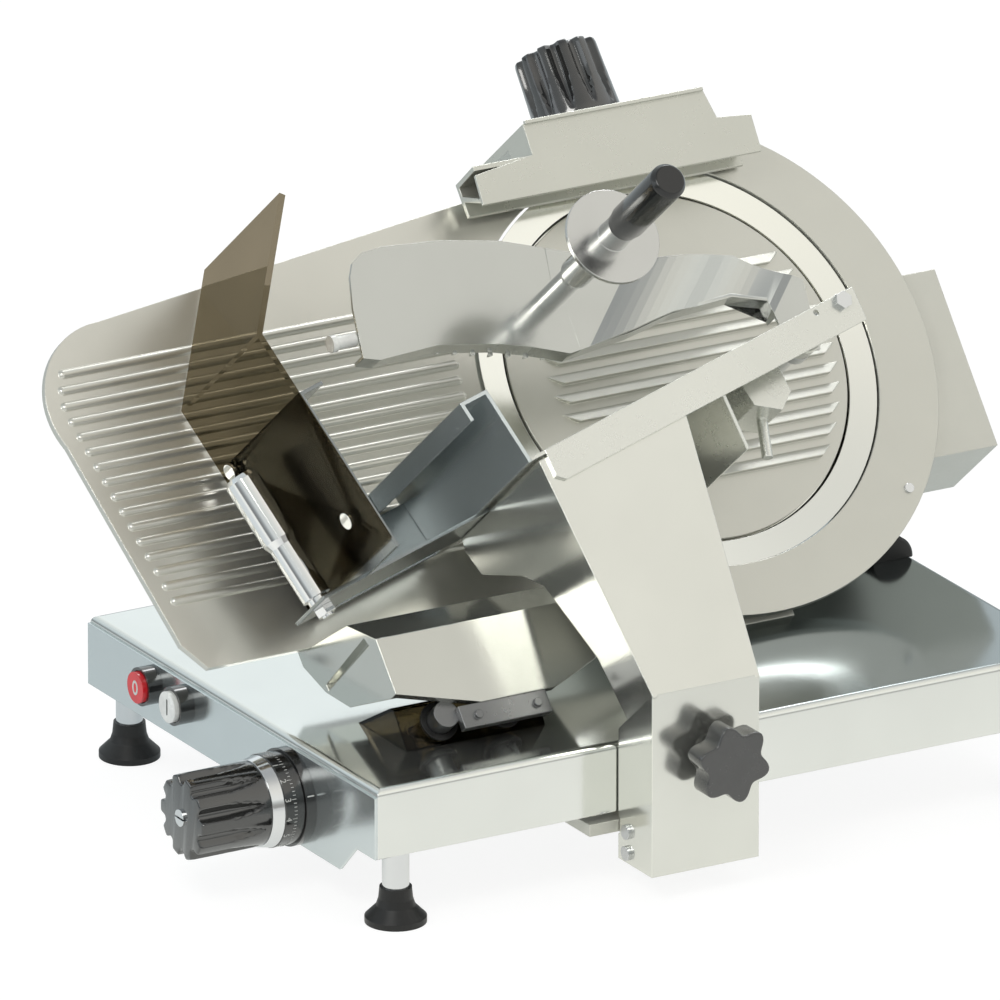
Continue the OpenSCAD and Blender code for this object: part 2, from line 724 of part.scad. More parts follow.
module grinding_stone() color([0.75, 0.55, 0.5]) stone(-32, 10.5);

module truing_stone() color([0.55, 0.5, 0.47]) stone(34, 9);

// Sheet webs of the arm that run inward from one of its long edges
module arm_web(y, lean, top) {
    placed() prism_y(blade_y + y - arm_t / 2, arm_t) polygon([[arm_in, arm_low], [arm_x, arm_low],
        [arm_x, bend_z], [at_x(bend_v, arm_n - 51), at_z(bend_v, arm_n - 51)], [arm_in, 133]]);
    on_blade() translate([y, bend_v, 0]) rotate([0, 0, lean]) prism_x(-arm_t / 2, arm_t)
        polygon([[-2, arm_n], [top, arm_n], [top, 42], [top - 11, 38], [top - 35, 46], [top - 60, 102],
            [132, 126], [55, arm_n - 51], [-2, arm_n - 51]]);
}

module carriage_arm() color([0.86, 0.86, 0.81]) difference() {
    union() {
        placed() block(arm_x - arm_t, arm_x, arm_y, arm_y + arm_w, arm_low, bend_z);
        on_blade() slab(arm_n - arm_t, arm_t) polygon([[arm_f, bend_v], [arm_f - 26, -120],
            [arm_b + 18, -82], [arm_b, bend_v]]);
        arm_web(arm_f + arm_t / 2, 7, 211);
        arm_web(arm_b - arm_t / 2, -4.2, 246);
    }
    on_table() block(-500, 300, floor_v - table_t, 300, -50, 400);
    on_table() block(-500, -280, floor_v - 2 * table_t - 0.5, 300, -50, tongue_n1 + 2);
    placed() rod_x(knob_y, lock_z, arm_x - 10, 20, 5.5);
    for (z = arm_screw_z) placed() rod_y(arm_screw_x, z, arm_y - 1, arm_t + 2, 4);
    placed() block(arm_in - 2, arm_in + 2, arm_y - 1, arm_y + arm_t + 1, bar_z, bar_z + 14);
}

module arm_screws() color([0.7, 0.71, 0.72]) placed() for (z = arm_screw_z) {
    rod_y(arm_screw_x, z, arm_y - 3, 3, 6);
    rod_y(arm_screw_x, z, arm_y - 1, arm_t + 12, 4);
}

module slide_block() color([0.66, 0.68, 0.69]) placed() difference() {
    union() {
        block(guide_x - 16, guide_x + 16, block_y, block_y + block_l, guide_z - 16, guide_z + 16);
        block(guide_x - 5, guide_x + 16, block_y, block_y + block_l, bar_z, guide_z);
        block(guide_x - 5, arm_x - arm_t - 21, block_y, block_y + block_l, bar_z, bar_z + 12);
        block(guide_x + 5, arm_in + 1, block_y - 52, block_y + 1, bar_z + 2, bar_z + 12);
        block(arm_x - arm_t - 22, arm_x - arm_t, block_y, block_y + block_l, 24, 140);
        block(arm_in + 5, arm_in + 27, arm_y + arm_t, block_y + 1, 24, bar_z + 12);
        for (y = [14, 36]) rod_x(block_y + y - 1, rail_z - run_gap - roller_r, guide_x + 15, 17, 3);
    }
    rod_y(guide_x, guide_z, block_y - 1, block_l + 2, guide_d / 2 + 3);
    rod_x(knob_y, lock_z, arm_x - arm_t - 30, 40, 5);
    for (z = arm_screw_z) rod_y(arm_screw_x, z, arm_y + arm_t - 1, 12, 4);
}

module slide_bushes() color([0.72, 0.55, 0.3]) placed() for (y = [0, block_l - 14]) difference() {
    rod_y(guide_x, guide_z, block_y + y, 14, guide_d / 2 + 3);
    rod_y(guide_x, guide_z, block_y + y - 1, 16, guide_d / 2 + fit_gap);
}

module roller(y) placed() difference() {
    rod_x(block_y + y, rail_z - run_gap - roller_r, guide_x + 18, 12, roller_r);
    rod_x(block_y + y, rail_z - run_gap - roller_r, guide_x + 17, 14, 3 + fit_gap);
}

module roller_front() color([0.85, 0.85, 0.82]) roller(13);

module roller_rear() color([0.85, 0.85, 0.82]) roller(35);

// Rod and rail inside the base that carry the slide
module guide_rod() color([0.8, 0.81, 0.82]) placed() {
    rod_y(guide_x, guide_z, 12, base_l - 24, guide_d / 2);
    for (y = [6, base_l - 20])
        block(guide_x - 12, guide_x + 12, y, y + 14, leg_h + sheet, guide_z + 13);
    block(guide_x + 17, right_x - sheet, 60, base_l - 60, rail_z, rail_z + 5);
}

module lock_knob() color([0.14, 0.15, 0.15]) placed() translate([0, knob_y, lock_z]) rotate([0, 90, 0]) {
    rod_z(0, 0, arm_x + run_gap, 13, 11);
    rod_z(0, 0, arm_x - 24, 30, 5 - fit_gap);
    slab(lock_x, lock_t) rotate(12) polygon([for (a = [0:5:355])
        (lock_r - 4.2 + 4.2 * cos(6 * a)) * [cos(a), sin(a)]]);
}

module strip_outline() polygon([[strip_w0, floor_v], [strip_w1, floor_v], [strip_w1 - 5, floor_v - strip_h],
    [strip_w0 + 3, floor_v - strip_h], [strip_w0 - 4, floor_v - strip_h + 6]]);

module product_table() color([0.83, 0.83, 0.8]) on_table() difference() {
    union() {
        slab(arm_n, table_t) strip_outline();
        block(floor_w0, floor_w1, floor_v - table_t, floor_v, table_gap, table_d - 0.5);
        block(floor_w1 - 1, strip_w1 - 4, floor_v - 24, floor_v + 6, table_gap, table_gap + table_t);
        block(floor_w0 + 30, floor_w1, floor_v - 16, floor_v - 1, table_gap, table_gap + table_t);
        prism_x(strip_w0 - 0.5, 3) polygon([[floor_v - 1, 60], [floor_v - 10, 62], [floor_v - strip_h, 140],
            [floor_v - strip_h, arm_n - arm_t], [floor_v - 1, arm_n - arm_t]]);
        prism_x(floor_w1 - 115, 3) polygon([[floor_v - 1, 60], [floor_v - 30, 70], [-114, 92],
            [-114, 178], [floor_v - 1, arm_n - 6]]);
        block(floor_w1 - 113, floor_w1 - 15, floor_v - 30, floor_v - 1, 120, 123);
        translate([floor_w1 - 15, 0, 0]) {
            slab(120, 50) polygon([[-66, floor_v - 1], [-24, floor_v - 1], [-30, -88], [-46, -98],
                [-66, -84]]);
            translate([-38, -66, 145]) rotate([90, 0, -27]) cylinder(h = 64, r = 4.5);
        }
    }
    translate([rod_w, rod_v, 0]) rod_z(0, 0, 0, 300, 5);
    translate([rod_w - 26, rod_v + 2, 0]) rod_z(0, 0, arm_n - 1, table_t + 2, 2.5);
    translate([floor_w1 - 15, 0, 124]) linear_extrude(42) polygon([[-62, floor_v - 4], [-28, floor_v - 4],
        [-33, -84], [-46, -93], [-62, -80]]);
}

module near_wall() color([0.7, 0.74, 0.76]) on_table() let (w = floor_w0, top = floor_v + wall_h) {
    block(w - table_t, w, floor_v - table_t, top, table_gap, table_d - 1);
    block(w - lip_w, w, top - table_t, top, table_gap, table_d - 1);
    block(w - lip_w, w - lip_w + table_t, top - 17, top, table_gap, table_d - 1);
}

module guard_bracket() color([0.68, 0.71, 0.72]) on_table() difference() {
    top = floor_v + wall_h;
    union() {
        block(handle_x - 14, floor_w0 + 9, floor_v - 2 * table_t, floor_v - table_t, tongue_n0, tongue_n1);
        block(plate_back, plate_back + table_t, floor_v - 2 * table_t, 98, 10, shield_n0 + shield_w - 2);
        block(plate_back, plate_back + 24, 95, 98, 10, shield_n0 + shield_w - 2);
        slab(8, table_t) polygon([[plate_back, floor_v - table_t], [floor_w0 - table_t, floor_v - table_t],
            [floor_w0 - table_t, top - 19], [floor_w0 - lip_w - 2, top - 19], [floor_w0 - lip_w - 2, top],
            [plate_back, 90]]);
    }
    for (p = screw_places) translate([0, p[0], p[1]]) rotate([0, 90, 0])
        rod_z(0, 0, plate_back - 1, 6, 3);
    translate([handle_x, floor_v, handle_n]) rotate([90, 0, 0]) cylinder(h = 20, r = 5);
}

module hand_guard() color([0.45, 0.38, 0.28, 0.55]) on_table() difference() {
    top = shield_v0 + shield_h;
    cx = shield_l * cos(shield_lean + 2.5);
    cy = shield_l * sin(shield_lean + 2.5);
    slab(shield_n0, shield_w) polygon([[shield_x, shield_v0], [plate_back, shield_v0],
        [plate_back, top - 2], [plate_back + cx, top + cy - 4], [shield_x + cx + 1.5, top + cy],
        [shield_x, top]]);
    for (p = screw_places) translate([0, p[0], p[1]]) rotate([0, 90, 0])
        rod_z(0, 0, shield_x - 1, shield_t + 2, 3);
    translate([0, top + cy - 10, shield_n0 + shield_w]) rotate([0, 45, 0])
        translate([-400, -20, 0]) cube([100, 60, 60]);
}

// Chrome handle on the tongue, its nut below, and the two screws of the hand guard
module push_handle() color([0.8, 0.81, 0.83]) on_table() {
    translate([handle_x, 0, handle_n]) rotate([-90, 0, 0]) {
        rod_z(0, 0, 16, 56, handle_d / 2);
        translate([0, 0, 72]) cylinder(h = 4, r1 = handle_d / 2, r2 = handle_d / 2 - 3);
        translate([0, 0, 10]) cylinder(h = 6, r1 = handle_d / 2 - 2.5, r2 = handle_d / 2);
        rod_z(0, 0, floor_v + 3, 8 - floor_v, handle_d / 2 - 2.5);
        rod_z(0, 0, floor_v - table_t, 7, 9);
        rod_z(0, 0, floor_v - 15, 14, 5);
        translate([0, 0, floor_v - 13]) cylinder(h = 13 - 2 * table_t, r = 9, $fn = 6);
    }
    for (p = screw_places) translate([0, p[0], p[1]]) rotate([0, 90, 0]) {
        rod_z(0, 0, shield_x - 3, 3, 7);
        rod_z(0, 0, shield_x - 1, shield_t + table_t + 1, 3);
    }
}

module pusher_rod() color([0.82, 0.83, 0.84]) on_table() translate([rod_w, rod_v, 0]) {
    rod_z(0, 0, table_gap + table_t, arm_n - table_gap - table_t, rod_r);
    rod_z(0, 0, table_gap, table_d - table_gap + 1, 5);
    translate([0, 0, table_d]) cylinder(h = 5, r = 7.5, $fn = 6);
}

module pusher_collars() color([0.6, 0.61, 0.62]) on_blade() translate([hub_y, hub_v]) {
    for (n = [hub_n0 - 10 - run_gap, hub_n1 + run_gap]) tube(n, 10, hub_r, rod_r + fit_gap);
}

// The pusher's outline: u along Y and v up, from the blade centre
module pusher_outline() polygon([[-340, 17], [-334, 60], [-327, 86], [-321, 97], [-310, 104],
    [-290, 106], [-239, 102], [-186, 92], [-125, 70], [-71, 53], [14, 44], [drawn_y + 20, 12],
    [drawn_y + 14, drawn_v - 10], [drawn_y - 12, drawn_v - 6], [28, 0], [-2, 9], [-60, 5], [-100, -4],
    [-160, -12], [-190, -1], [-218, 7], [-271, 16], [-326, 13]]);

module pusher_edge() difference() {
    pusher_outline();
    translate([0, 3]) pusher_outline();
}

function bend_n(t) = pusher_n + 7 * sin(360 * t);

module pusher_plate() color([0.74, 0.75, 0.73]) on_pusher() difference() {
    union() {
        slab(pusher_n - 3, 3) intersection() {
            pusher_outline();
            translate([-400, -100]) square([400 + plate_y, 300]);
        }
        slab(pusher_n - rim_d, rim_d) intersection() {
            pusher_edge();
            translate([-400, -100]) square([400 + plate_y, 300]);
        }
        for (i = [0:10]) let (y = -325 + 15 * i, v = y < -271 ? 18 : 18 + 0.24 * (-271 - y))
            translate([y, v, pusher_n - rim_d - 5]) cylinder(h = 6, r1 = 0.6, r2 = 2.2);
    }
    rod_z(stem_y, stem_v, pusher_n - 4, 5, 5);
}

// Arm of the pusher: an S-bent sheet with a rim below it, ending in a hub on the rod
module pusher_arm() color([0.82, 0.83, 0.83]) on_pusher() difference() {
    union() {
        intersection() {
            slab(pusher_n - 20, 40) difference() {
                pusher_outline();
                translate([-400, -100]) square([400 + plate_y, 300]);
            }
            rotate([0, 0, -44]) prism_y(-200, 400) polygon(concat(
                [[-250, pusher_n]],
                [for (i = [0:20]) [-95 + 6.2 * i, bend_n(i / 20)]],
                [[120, pusher_n], [120, pusher_n - 3]],
                [for (i = [0:20]) [29 - 6.2 * i, bend_n(1 - i / 20) - 3]],
                [[-250, pusher_n - 3]]));
        }
        slab(pusher_n - rim_d, rim_d - 1) intersection() {
            pusher_edge();
            translate([plate_y, -100]) square([drawn_y - hub_r - plate_y - 2, 300]);
        }
        rod_z(drawn_y, drawn_v, hub_n0, hub_n1 - hub_n0, hub_r);
    }
    rod_z(drawn_y, drawn_v, 0, 300, rod_r + fit_gap);
}

// Handle rod with the round hand stop near its outer end
module pusher_stem() color([0.78, 0.79, 0.8]) on_pusher() translate([stem_y, stem_v, pusher_n]) {
    rod_z(0, 0, -3, 30, 5);
    rod_z(0, 0, 0, 52, 10);
    translate([0, 0, 50]) cylinder(h = 8, r1 = 10, r2 = 13);
    rod_z(0, 0, 57, stem_l - 57, 13);
    rod_z(0, 0, stem_l - 26, 4, stop_r);
    rod_z(0, 0, stem_l - 4, 60, 6);
}

module pusher_grip() color([0.07, 0.07, 0.07]) on_pusher()
    translate([stem_y, stem_v, pusher_n + stem_l]) difference() {
        union() {
            rod_z(0, 0, 0, 10, 13.5);
            rod_z(0, 0, 9, pgrip_l - 13, 15);
            translate([0, 0, pgrip_l - 4]) cylinder(h = 4, r1 = 15, r2 = 12);
        }
        rod_z(0, 0, -1, 57, 6);
    }

module pusher_peg() color([0.9, 0.9, 0.88]) on_pusher() translate([-338, 36, pusher_n - 7]) {
    rotate([0, -90, 0]) cylinder(h = 20, r = 5.5);
    translate([-18, 0, 0]) rotate([0, -90, 0]) cylinder(h = 5, r = 7);
}

base_shell();
base_plate();
control_panel();
foot_pads();
foot_legs();
thickness_flange();
thickness_dial();
thickness_grip();
thickness_shaft();
button_bezels();
switch_bodies();
stop_button();
start_button();
gauge_plate();
gauge_bracket();
gauge_bars();
bar_clamp();
gauge_fork();
gauge_guide_block();
bar_grommets();
gauge_shroud();
blade();
blade_screws();
blade_spindle();
driven_pulley();
spindle_bearings();
blade_cover();
cover_knob();
ring_guard();
ring_guard_screws();
blade_housing();
motor();
motor_pulley();
drive_belt();
cable_gland();
sharpener_post();
sharpener_housing();
sharpener_knob();
grinding_stone();
truing_stone();
carriage_arm();
arm_screws();
slide_block();
slide_bushes();
roller_front();
roller_rear();
guide_rod();
lock_knob();
product_table();
near_wall();
guard_bracket();
hand_guard();
push_handle();
pusher_collars();
pusher_plate();
pusher_rod();
pusher_arm();
pusher_stem();
pusher_grip();
pusher_peg();
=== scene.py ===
"""Finishes, small trim and studio of a gravity-feed meat slicer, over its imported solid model."""

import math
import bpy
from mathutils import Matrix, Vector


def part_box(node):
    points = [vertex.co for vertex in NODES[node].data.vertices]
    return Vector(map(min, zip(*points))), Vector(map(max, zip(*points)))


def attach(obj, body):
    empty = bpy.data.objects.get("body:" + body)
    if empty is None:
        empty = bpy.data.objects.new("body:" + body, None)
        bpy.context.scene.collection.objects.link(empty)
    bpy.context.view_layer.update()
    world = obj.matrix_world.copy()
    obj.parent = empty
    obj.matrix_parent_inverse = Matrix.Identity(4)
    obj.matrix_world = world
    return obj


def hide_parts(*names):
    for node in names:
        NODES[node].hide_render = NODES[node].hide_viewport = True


bl_info = {
    "name": "Gravity-feed slicer",
    "version": (1, 0, 0),
    "blender": (4, 5, 0),
    "location": "3D View > Sidebar > Slicer",
    "description": "Finishes, small trim and studio of a gravity-feed meat slicer",
    "category": "Object",
}

import bmesh
import bpy
from bpy.props import FloatProperty, FloatVectorProperty, IntProperty, PointerProperty
from bpy.types import Operator, Panel, PropertyGroup
from mathutils import Matrix, Vector
from mathutils.bvhtree import BVHTree

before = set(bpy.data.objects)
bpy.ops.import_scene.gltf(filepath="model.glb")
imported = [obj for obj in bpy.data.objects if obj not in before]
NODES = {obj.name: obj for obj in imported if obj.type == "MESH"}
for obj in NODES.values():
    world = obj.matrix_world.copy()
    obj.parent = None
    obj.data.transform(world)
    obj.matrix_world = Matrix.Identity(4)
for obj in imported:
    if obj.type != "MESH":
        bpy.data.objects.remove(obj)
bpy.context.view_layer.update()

# Directions of the leaning blade plane: out from it, up it, and along the carriage travel
LEAN = math.radians(40)
OUT = Vector((math.cos(LEAN), 0, math.sin(LEAN)))
UP = Vector((-math.sin(LEAN), 0, math.cos(LEAN)))
ALONG = Vector((0, 1, 0))


def box_of(node):
    """Lowest and highest corner of a solid, as vectors."""
    low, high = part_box(node)
    return Vector(low), Vector(high)


def middle(node):
    """Middle of a solid's box."""
    low, high = box_of(node)
    return (low + high) / 2


# Centre of the blade, in the plane of its edge, which lies just in front of the middle of its box
EDGE_AHEAD = 0.00035
BLADE = middle("blade") + OUT * EDGE_AHEAD


# Materials

# How far a bump's full height reaches, and the samples of a softened edge
BUMP_REACH = 0.0003
EDGE_SAMPLES = 6
# Fineness of a metal's grain, the faint depth of a smooth metal's, and the mask and brightness of the painted
# highlight on its sharp edges
GRAIN_SCALE = 260
FAINT_GRAIN = 0.006
EDGE_GAIN = 0.85
EDGE_PAINTED_HIGHLIGHT = 1.2
# Width of a moulded piece's softened edges
MOULDED_EDGE = 0.0008


def new_material(name):
    """A material with its shader and output only."""
    material = bpy.data.materials.new(name)
    material.use_nodes = True
    tree = material.node_tree
    shader = tree.nodes["Principled BSDF"]
    return material, tree, shader


def place_noise(tree, scale, detail, rough=0.6):
    """A noise on the piece's own coordinates."""
    where = tree.nodes.new("ShaderNodeTexCoord")
    noise = tree.nodes.new("ShaderNodeTexNoise")
    noise.inputs["Scale"].default_value = scale
    noise.inputs["Detail"].default_value = detail
    noise.inputs["Roughness"].default_value = rough
    tree.links.new(where.outputs["Object"], noise.inputs["Vector"])
    return noise


def ramp_between(tree, source, low, high, first, last):
    """A colour ramp from one colour to another."""
    ramp = tree.nodes.new("ShaderNodeValToRGB")
    ramp.color_ramp.elements[0].position = low
    ramp.color_ramp.elements[1].position = high
    ramp.color_ramp.elements[0].color = (*first, 1)
    ramp.color_ramp.elements[1].color = (*last, 1)
    tree.links.new(source, ramp.inputs["Fac"])
    return ramp


def ramp_through(tree, source, stops):
    """A colour ramp through several (position, colour) stops."""
    ramp = tree.nodes.new("ShaderNodeValToRGB")
    steps = ramp.color_ramp.elements
    steps[0].position, steps[1].position = stops[0][0], stops[-1][0]
    steps[0].color, steps[1].color = (*stops[0][1], 1), (*stops[-1][1], 1)
    for position, colour in stops[1:-1]:
        steps.new(position).color = (*colour, 1)
    tree.links.new(source, ramp.inputs["Fac"])
    return ramp


def spread_between(tree, source, low, high, first, last):
    """A number mapped from one range to another, clamped."""
    spread = tree.nodes.new("ShaderNodeMapRange")
    spread.inputs["From Min"].default_value = low
    spread.inputs["From Max"].default_value = high
    spread.inputs["To Min"].default_value = first
    spread.inputs["To Max"].default_value = last
    tree.links.new(source, spread.inputs["Value"])
    return spread.outputs["Result"]


def blend_colours(tree, factor, first, second, kind="MIX"):
    """Two colours mixed; each of the three is a socket or a plain value."""
    mix = tree.nodes.new("ShaderNodeMix")
    mix.data_type = "RGBA"
    mix.blend_type = kind
    for value, place in ((factor, 0), (first, 6), (second, 7)):
        if isinstance(value, bpy.types.NodeSocket):
            tree.links.new(value, mix.inputs[place])
        elif place == 0:
            mix.inputs[place].default_value = value
        else:
            mix.inputs[place].default_value = (*value, 1)
    return mix.outputs[2]


def edge_mask(tree, width):
    """1 on sharp edges and 0 on flat faces, from the difference between soft and true normals."""
    bevel = tree.nodes.new("ShaderNodeBevel")
    bevel.samples = EDGE_SAMPLES
    bevel.inputs["Radius"].default_value = width
    geometry = tree.nodes.new("ShaderNodeNewGeometry")
    dot = tree.nodes.new("ShaderNodeVectorMath")
    dot.operation = "DOT_PRODUCT"
    tree.links.new(bevel.outputs["Normal"], dot.inputs[0])
    tree.links.new(geometry.outputs["True Normal"], dot.inputs[1])
    return bevel, spread_between(tree, dot.outputs["Value"], 1.0, EDGE_GAIN, 0.0, 1.0)


def metal(name, colour, roughness, metallic=0.7, grain_depth=0.02, tone=0.03, edge=0.0012):
    """Polished, satin or cast metal: faint clouds, smudges, a fine grain and a painted highlight on sharp
    edges.
    """
    material, tree, shader = new_material(name)
    cloud = place_noise(tree, 7, detail=3)
    dark = tuple(c * (1 - tone) for c in colour)
    light = tuple(min(0.99, c * (1 + tone)) for c in colour)
    tint = ramp_between(tree, cloud.outputs["Fac"], 0.3, 0.7, dark, light)
    bevel, mask = edge_mask(tree, edge)
    # Brighter colour on sharp edges: a painted highlight
    bright = tuple(min(0.98, c * EDGE_PAINTED_HIGHLIGHT) for c in colour)
    tree.links.new(blend_colours(tree, mask, tint.outputs["Color"], bright), shader.inputs["Base Color"])
    smudge = place_noise(tree, 38, detail=6, rough=0.7)
    lines = place_noise(tree, GRAIN_SCALE, detail=2)
    wiped = spread_between(tree, smudge.outputs["Fac"], 0.35, 0.75, roughness * 0.92, roughness * 1.1)
    grained = spread_between(tree, lines.outputs["Fac"], 0.3, 0.7, -0.08 * roughness, 0.08 * roughness)
    total = tree.nodes.new("ShaderNodeMath")
    tree.links.new(wiped, total.inputs[0])
    tree.links.new(grained, total.inputs[1])
    tree.links.new(total.outputs["Value"], shader.inputs["Roughness"])
    bump = tree.nodes.new("ShaderNodeBump")
    bump.inputs["Strength"].default_value = grain_depth
    bump.inputs["Distance"].default_value = BUMP_REACH
    tree.links.new(lines.outputs["Fac"], bump.inputs["Height"])
    tree.links.new(bevel.outputs["Normal"], bump.inputs["Normal"])
    tree.links.new(bump.outputs["Normal"], shader.inputs["Normal"])
    shader.inputs["Metallic"].default_value = metallic
    return material


def base_metal(front, rear):
    """Brushed sheet of the base: its upper face is painted darker towards the rear, a painted reflection of
    dark surroundings.
    """
    material = metal("base sheet", front, roughness=0.12, metallic=0.96)
    tree = material.node_tree
    shader = tree.nodes["Principled BSDF"]
    where = tree.nodes.new("ShaderNodeTexCoord")
    split = tree.nodes.new("ShaderNodeSeparateXYZ")
    tree.links.new(where.outputs["Object"], split.inputs["Vector"])
    geometry = tree.nodes.new("ShaderNodeNewGeometry")
    facing = tree.nodes.new("ShaderNodeSeparateXYZ")
    tree.links.new(geometry.outputs["Normal"], facing.inputs["Vector"])
    # Mask of the upward faces towards the rear, where the painted reflection goes
    level = spread_between(tree, facing.outputs["Z"], 0.8, 0.98, 0.0, 1.0)
    back = spread_between(tree, split.outputs["Y"], -0.12, 0.1, 0.0, 1.0)
    share = tree.nodes.new("ShaderNodeMath")
    share.operation = "MULTIPLY"
    tree.links.new(level, share.inputs[0])
    tree.links.new(back, share.inputs[1])
    # The sheet colour blends into the dark colour there: painted reflection
    colour = shader.inputs["Base Color"].links[0].from_socket
    tree.links.new(blend_colours(tree, share.outputs["Value"], colour, rear), shader.inputs["Base Color"])
    return material


def moulded(name, colour, roughness, coat=0.0, gloss=0.5, pebble=0.05):
    """Moulded plastic or rubber with a fine pebble, handled patches and softened edges."""
    material, tree, shader = new_material(name)
    grain = place_noise(tree, 900, detail=2)
    patch = place_noise(tree, 60, detail=4)
    tint = ramp_between(tree, patch.outputs["Fac"], 0.35, 0.65, tuple(c * 0.9 for c in colour),
                        tuple(min(1, c * 1.1) for c in colour))
    tree.links.new(tint.outputs["Color"], shader.inputs["Base Color"])
    tree.links.new(spread_between(tree, patch.outputs["Fac"], 0.3, 0.7, roughness * 0.8, roughness * 1.2),
                   shader.inputs["Roughness"])
    bevel = tree.nodes.new("ShaderNodeBevel")
    bevel.samples = EDGE_SAMPLES
    bevel.inputs["Radius"].default_value = MOULDED_EDGE
    bump = tree.nodes.new("ShaderNodeBump")
    bump.inputs["Strength"].default_value = pebble
    bump.inputs["Distance"].default_value = BUMP_REACH
    tree.links.new(grain.outputs["Fac"], bump.inputs["Height"])
    tree.links.new(bevel.outputs["Normal"], bump.inputs["Normal"])
    tree.links.new(bump.outputs["Normal"], shader.inputs["Normal"])
    shader.inputs["Specular IOR Level"].default_value = gloss
    shader.inputs["Coat Weight"].default_value = coat
    shader.inputs["Coat Roughness"].default_value = 0.06
    shader.inputs["Coat IOR"].default_value = 1.5
    return material


def smoked(name, colour, roughness=0.03, bend=1.03):
    """Clear brown plastic that darkens what is behind it."""
    material, tree, shader = new_material(name)
    cloud = place_noise(tree, 14, detail=2)
    tint = ramp_between(tree, cloud.outputs["Fac"], 0.3, 0.7, tuple(c * 0.96 for c in colour),
                        tuple(c * 1.04 for c in colour))
    tree.links.new(tint.outputs["Color"], shader.inputs["Base Color"])
    wipes = place_noise(tree, 45, detail=5)
    tree.links.new(spread_between(tree, wipes.outputs["Fac"], 0.4, 0.8, roughness, roughness * 2.5),
                   shader.inputs["Roughness"])
    bump = tree.nodes.new("ShaderNodeBump")
    bump.inputs["Strength"].default_value = 0.01
    bump.inputs["Distance"].default_value = 0.0005
    tree.links.new(cloud.outputs["Fac"], bump.inputs["Height"])
    tree.links.new(bump.outputs["Normal"], shader.inputs["Normal"])
    shader.inputs["Transmission Weight"].default_value = 1.0
    shader.inputs["IOR"].default_value = bend
    return material


def dress(material, *names):
    """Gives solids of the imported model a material."""
    for name in names:
        mesh = NODES[name].data
        mesh.materials.clear()
        mesh.materials.append(material)


# Pieces


def add_piece(name, mesh, material, body, replaced=()):
    """Puts a finished mesh in the scene as a piece that rides on a body."""
    piece = bpy.data.objects.new(name, mesh)
    bpy.context.scene.collection.objects.link(piece)
    mesh.materials.clear()
    mesh.materials.append(material)
    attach(piece, body)
    if replaced:
        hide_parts(*replaced)
    return piece


def mesh_from(bm, name, smooth_angle=None):
    """Closes a bmesh into a mesh, smooth up to an angle when one is given."""
    bmesh.ops.remove_doubles(bm, verts=bm.verts, dist=1e-6)
    bmesh.ops.recalc_face_normals(bm, faces=bm.faces)
    mesh = bpy.data.meshes.new(name)
    bm.to_mesh(mesh)
    bm.free()
    for face in mesh.polygons:
        face.use_smooth = smooth_angle is not None
    if smooth_angle is not None:
        mesh.set_sharp_from_angle(angle=math.radians(smooth_angle))
    return mesh


def frame_at(place, axis, side):
    """A matrix whose Z runs along an axis and whose X lies towards a side."""
    axis = Vector(axis).normalized()
    across = (Vector(side) - axis * Vector(side).dot(axis)).normalized()
    matrix = Matrix((across, axis.cross(across), axis)).transposed().to_4x4()
    matrix.translation = place
    return matrix


# Faces over this area get a narrow border, so that their shading stays flat
BROAD = 0.0002
# Edges nearer than this to the solid beside them stay sharp
SEAM = 0.0008
# Points nearer than this are one, faces this level are one, and edges over this angle are rounded
MERGE = 2e-5
LEVEL = math.radians(1.5)
ROUND_OVER = math.radians(28)
# Edges over this angle still shade sharp after rounding
SHADE_SHARP = math.radians(38)


def softened(node, name, width, material, body, segments=3, beside=None):
    """A copy of a solid with its sharp edges rounded, but for those that lie against another solid."""
    bm = bmesh.new()
    bm.from_mesh(NODES[node].data)
    bmesh.ops.remove_doubles(bm, verts=bm.verts, dist=MERGE)
    bmesh.ops.dissolve_limit(bm, angle_limit=LEVEL, verts=bm.verts, edges=bm.edges)
    sharp = [e for e in bm.edges if len(e.link_faces) == 2
             and e.calc_face_angle(0) > ROUND_OVER]
    if beside:
        other = NODES[beside].data
        skin = BVHTree.FromPolygons([v.co for v in other.vertices], [f.vertices for f in other.polygons])
        sharp = [e for e in sharp
                 if skin.find_nearest((e.verts[0].co + e.verts[1].co) / 2)[3] > SEAM]
    bmesh.ops.bevel(bm, geom=sharp, offset=width, offset_type="OFFSET", segments=segments,
                    profile=0.5, affect="EDGES", material=-1, clamp_overlap=True)
    broad = [f for f in bm.faces if f.calc_area() > BROAD]
    bmesh.ops.inset_individual(bm, faces=broad, thickness=width * 0.3, use_even_offset=True)
    mesh = bpy.data.meshes.new(name)
    bm.to_mesh(mesh)
    bm.free()
    for face in mesh.polygons:
        face.use_smooth = True
    mesh.set_sharp_from_angle(angle=SHADE_SHARP)
    return add_piece(name, mesh, material, body, (node,))


def valley(turn, share, lobes, width):
    """Depth from 0 to 1 of the hollows round a fluted knob; their ends close to a point at share 0."""
    if share <= 0:
        return 0.0
    pitch = 2 * math.pi / lobes
    off = abs((turn + pitch / 2) % pitch - pitch / 2) / (pitch / 2)
    half = width * math.sqrt(min(1.0, share))
    if off >= half:
        return 0.0
    inside = 1 - (off / half) ** 2
    return inside * inside * (3 - 2 * inside) * min(1.0, 0.35 + share)


